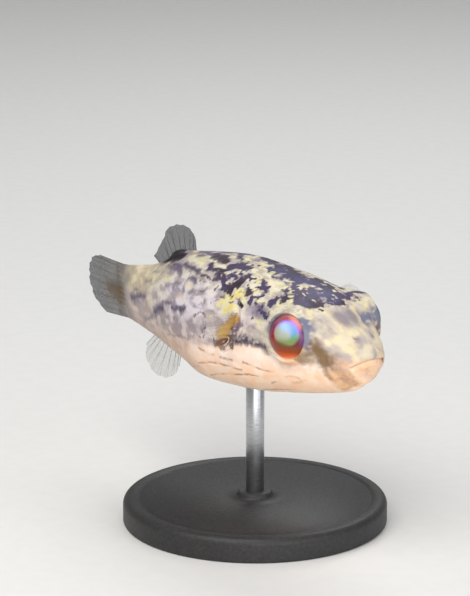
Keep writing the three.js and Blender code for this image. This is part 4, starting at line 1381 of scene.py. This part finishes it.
def rod_material():
    """Ground stainless steel: fine marks round the wire that draw the highlight out along it."""
    material, tree = new_material("ground_stainless_wire")
    # grinding marks 0.03 mm apart, drawn out round the wire
    drawn = add(tree, "Mapping", {"Vector": add(tree, "TexCoord"), "Scale": (1500, 1500, 30000)})
    marks = add(tree, "TexNoise", {"Vector": drawn, "Scale": 1.0, "Detail": 3})
    shader = add(tree, "BsdfPrincipled", {
        "Base Color": shade(tree, marks, 0.3, 0.7, "#a5a7aa", "#c6c8ca"), "Metallic": 1.0,
        "Roughness": weighted(tree, 0.22, (marks, 0.18)),
        "Normal": add(tree, "Bump", {"Strength": 0.2, "Distance": 0.00001, "Height": marks})})
    add(tree, "OutputMaterial", {"Surface": shader})
    return material


rod_profile = [(0, rod_low[2]), (ROD_RADIUS - 0.1, rod_low[2]), (ROD_RADIUS, rod_low[2] + 0.1),
               (ROD_RADIUS, rod_high[2] - 0.1), (ROD_RADIUS - 0.1, rod_high[2]), (0, rod_high[2])]
rod = lathe("display_rod", rod_profile, 48)
rod.data.materials.append(rod_material())
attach(rod, "root")
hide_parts("stand_rod")


# ---- the studio --------------------------------------------------------------------------------
# A pale sheet that sweeps up behind, and four large soft lamps: the key above and in front, a fill
# from the side, a low one that lights the belly and a rim light from behind.

CAMERA_AZIMUTH = 52.0      # round to the fish's right front
CAMERA_ELEVATION = 15.0
CAMERA_DISTANCE = 300.0
CAMERA_LENS = 184.7
LOOK_AT = (-4.33, 0.88, 21.51)
SHEET_HALF_WIDTH = 900.0
SHEET_HEIGHT = 900.0
SHEET_FRONT = -900.0
SHEET_BEND_AT = 340.0      # behind the stand
SHEET_BEND_RADIUS = 120.0


def studio_sheet():
    """A flat floor that curves up into a backdrop behind the fish as the camera sees it."""
    azimuth = math.radians(CAMERA_AZIMUTH)
    away = Vector((-math.sin(azimuth), math.cos(azimuth), 0))
    across = Vector((math.cos(azimuth), math.sin(azimuth), 0))
    rows = [(SHEET_FRONT, 0), (SHEET_BEND_AT, 0)]
    for angle in np.radians(range(6, 91, 6)):
        bend = SHEET_BEND_RADIUS * math.sin(angle), SHEET_BEND_RADIUS * (1 - math.cos(angle))
        rows.append((SHEET_BEND_AT + bend[0], bend[1]))
    rows.append((SHEET_BEND_AT + SHEET_BEND_RADIUS, SHEET_HEIGHT))
    sides = (-SHEET_HALF_WIDTH, SHEET_HALF_WIDTH)
    points = [away * d + across * x + Vector((0, 0, z)) for d, z in rows for x in sides]
    faces = [(2 * i, 2 * i + 1, 2 * i + 3, 2 * i + 2) for i in range(len(rows) - 1)]
    return mesh_object("studio_sheet", np.array(points), faces)


def paper_material():
    """Seamless studio paper: pale warm grey with a barely seen fibre."""
    material, tree = new_material("pale_seamless_paper")
    # clouds of fibre 1.7 mm across
    fibre = add(tree, "TexNoise", {"Vector": millimetres(tree), "Scale": 0.6, "Detail": 2})
    colour = shade(tree, fibre, 0.3, 0.7, "#dddcd9", "#dfdedb")
    shader = add(tree, "BsdfPrincipled", {"Base Color": colour, "Roughness": 0.9, "IOR": 1.4})
    add(tree, "OutputMaterial", {"Surface": shader})
    return material


floor = studio_sheet()
floor.data.materials.append(paper_material())


def direction(azimuth, elevation):
    a, e = math.radians(azimuth), math.radians(elevation)
    return Vector((math.sin(a) * math.cos(e), -math.cos(a) * math.cos(e), math.sin(e)))


def soft_lamp(name, azimuth, elevation, distance, size, watts, colour):
    lamp = bpy.data.lights.new(name, "AREA")
    lamp.shape = "DISK"
    lamp.size = size * MM
    lamp.energy = watts
    lamp.color = linear(colour)[:3]
    placed = bpy.data.objects.new(name, lamp)
    placed.location = (Vector((0, 0, 18)) + direction(azimuth, elevation) * distance) * MM
    placed.rotation_euler = direction(azimuth, elevation).to_track_quat("Z", "Y").to_euler()
    bpy.context.scene.collection.objects.link(placed)


soft_lamp("key_lamp", 20, 55, 260, 220, 0.52, "#fffdfa")
soft_lamp("fill_lamp", 95, 12, 300, 240, 0.28, "#f3f6ff")
soft_lamp("low_lamp", 55, -3, 280, 220, 0.47, "#fffaf5")
soft_lamp("rim_lamp", -140, 50, 300, 160, 0.3, "#ffffff")

world = bpy.data.worlds.new("studio")
bpy.context.scene.world = world
world.use_nodes = True
world.node_tree.nodes["Background"].inputs["Color"].default_value = linear("#e9edf4")
world.node_tree.nodes["Background"].inputs["Strength"].default_value = 0.42

camera = bpy.data.objects.new("camera", bpy.data.cameras.new("camera"))
camera.data.lens = CAMERA_LENS
camera.data.clip_start = 0.01
camera.data.clip_end = 10
view = direction(CAMERA_AZIMUTH, CAMERA_ELEVATION)
camera.location = (Vector(LOOK_AT) + view * CAMERA_DISTANCE) * MM
camera.rotation_euler = view.to_track_quat("Z", "Y").to_euler()
bpy.context.scene.collection.objects.link(camera)
bpy.context.scene.camera = camera
bpy.context.scene.view_settings.view_transform = "Standard"
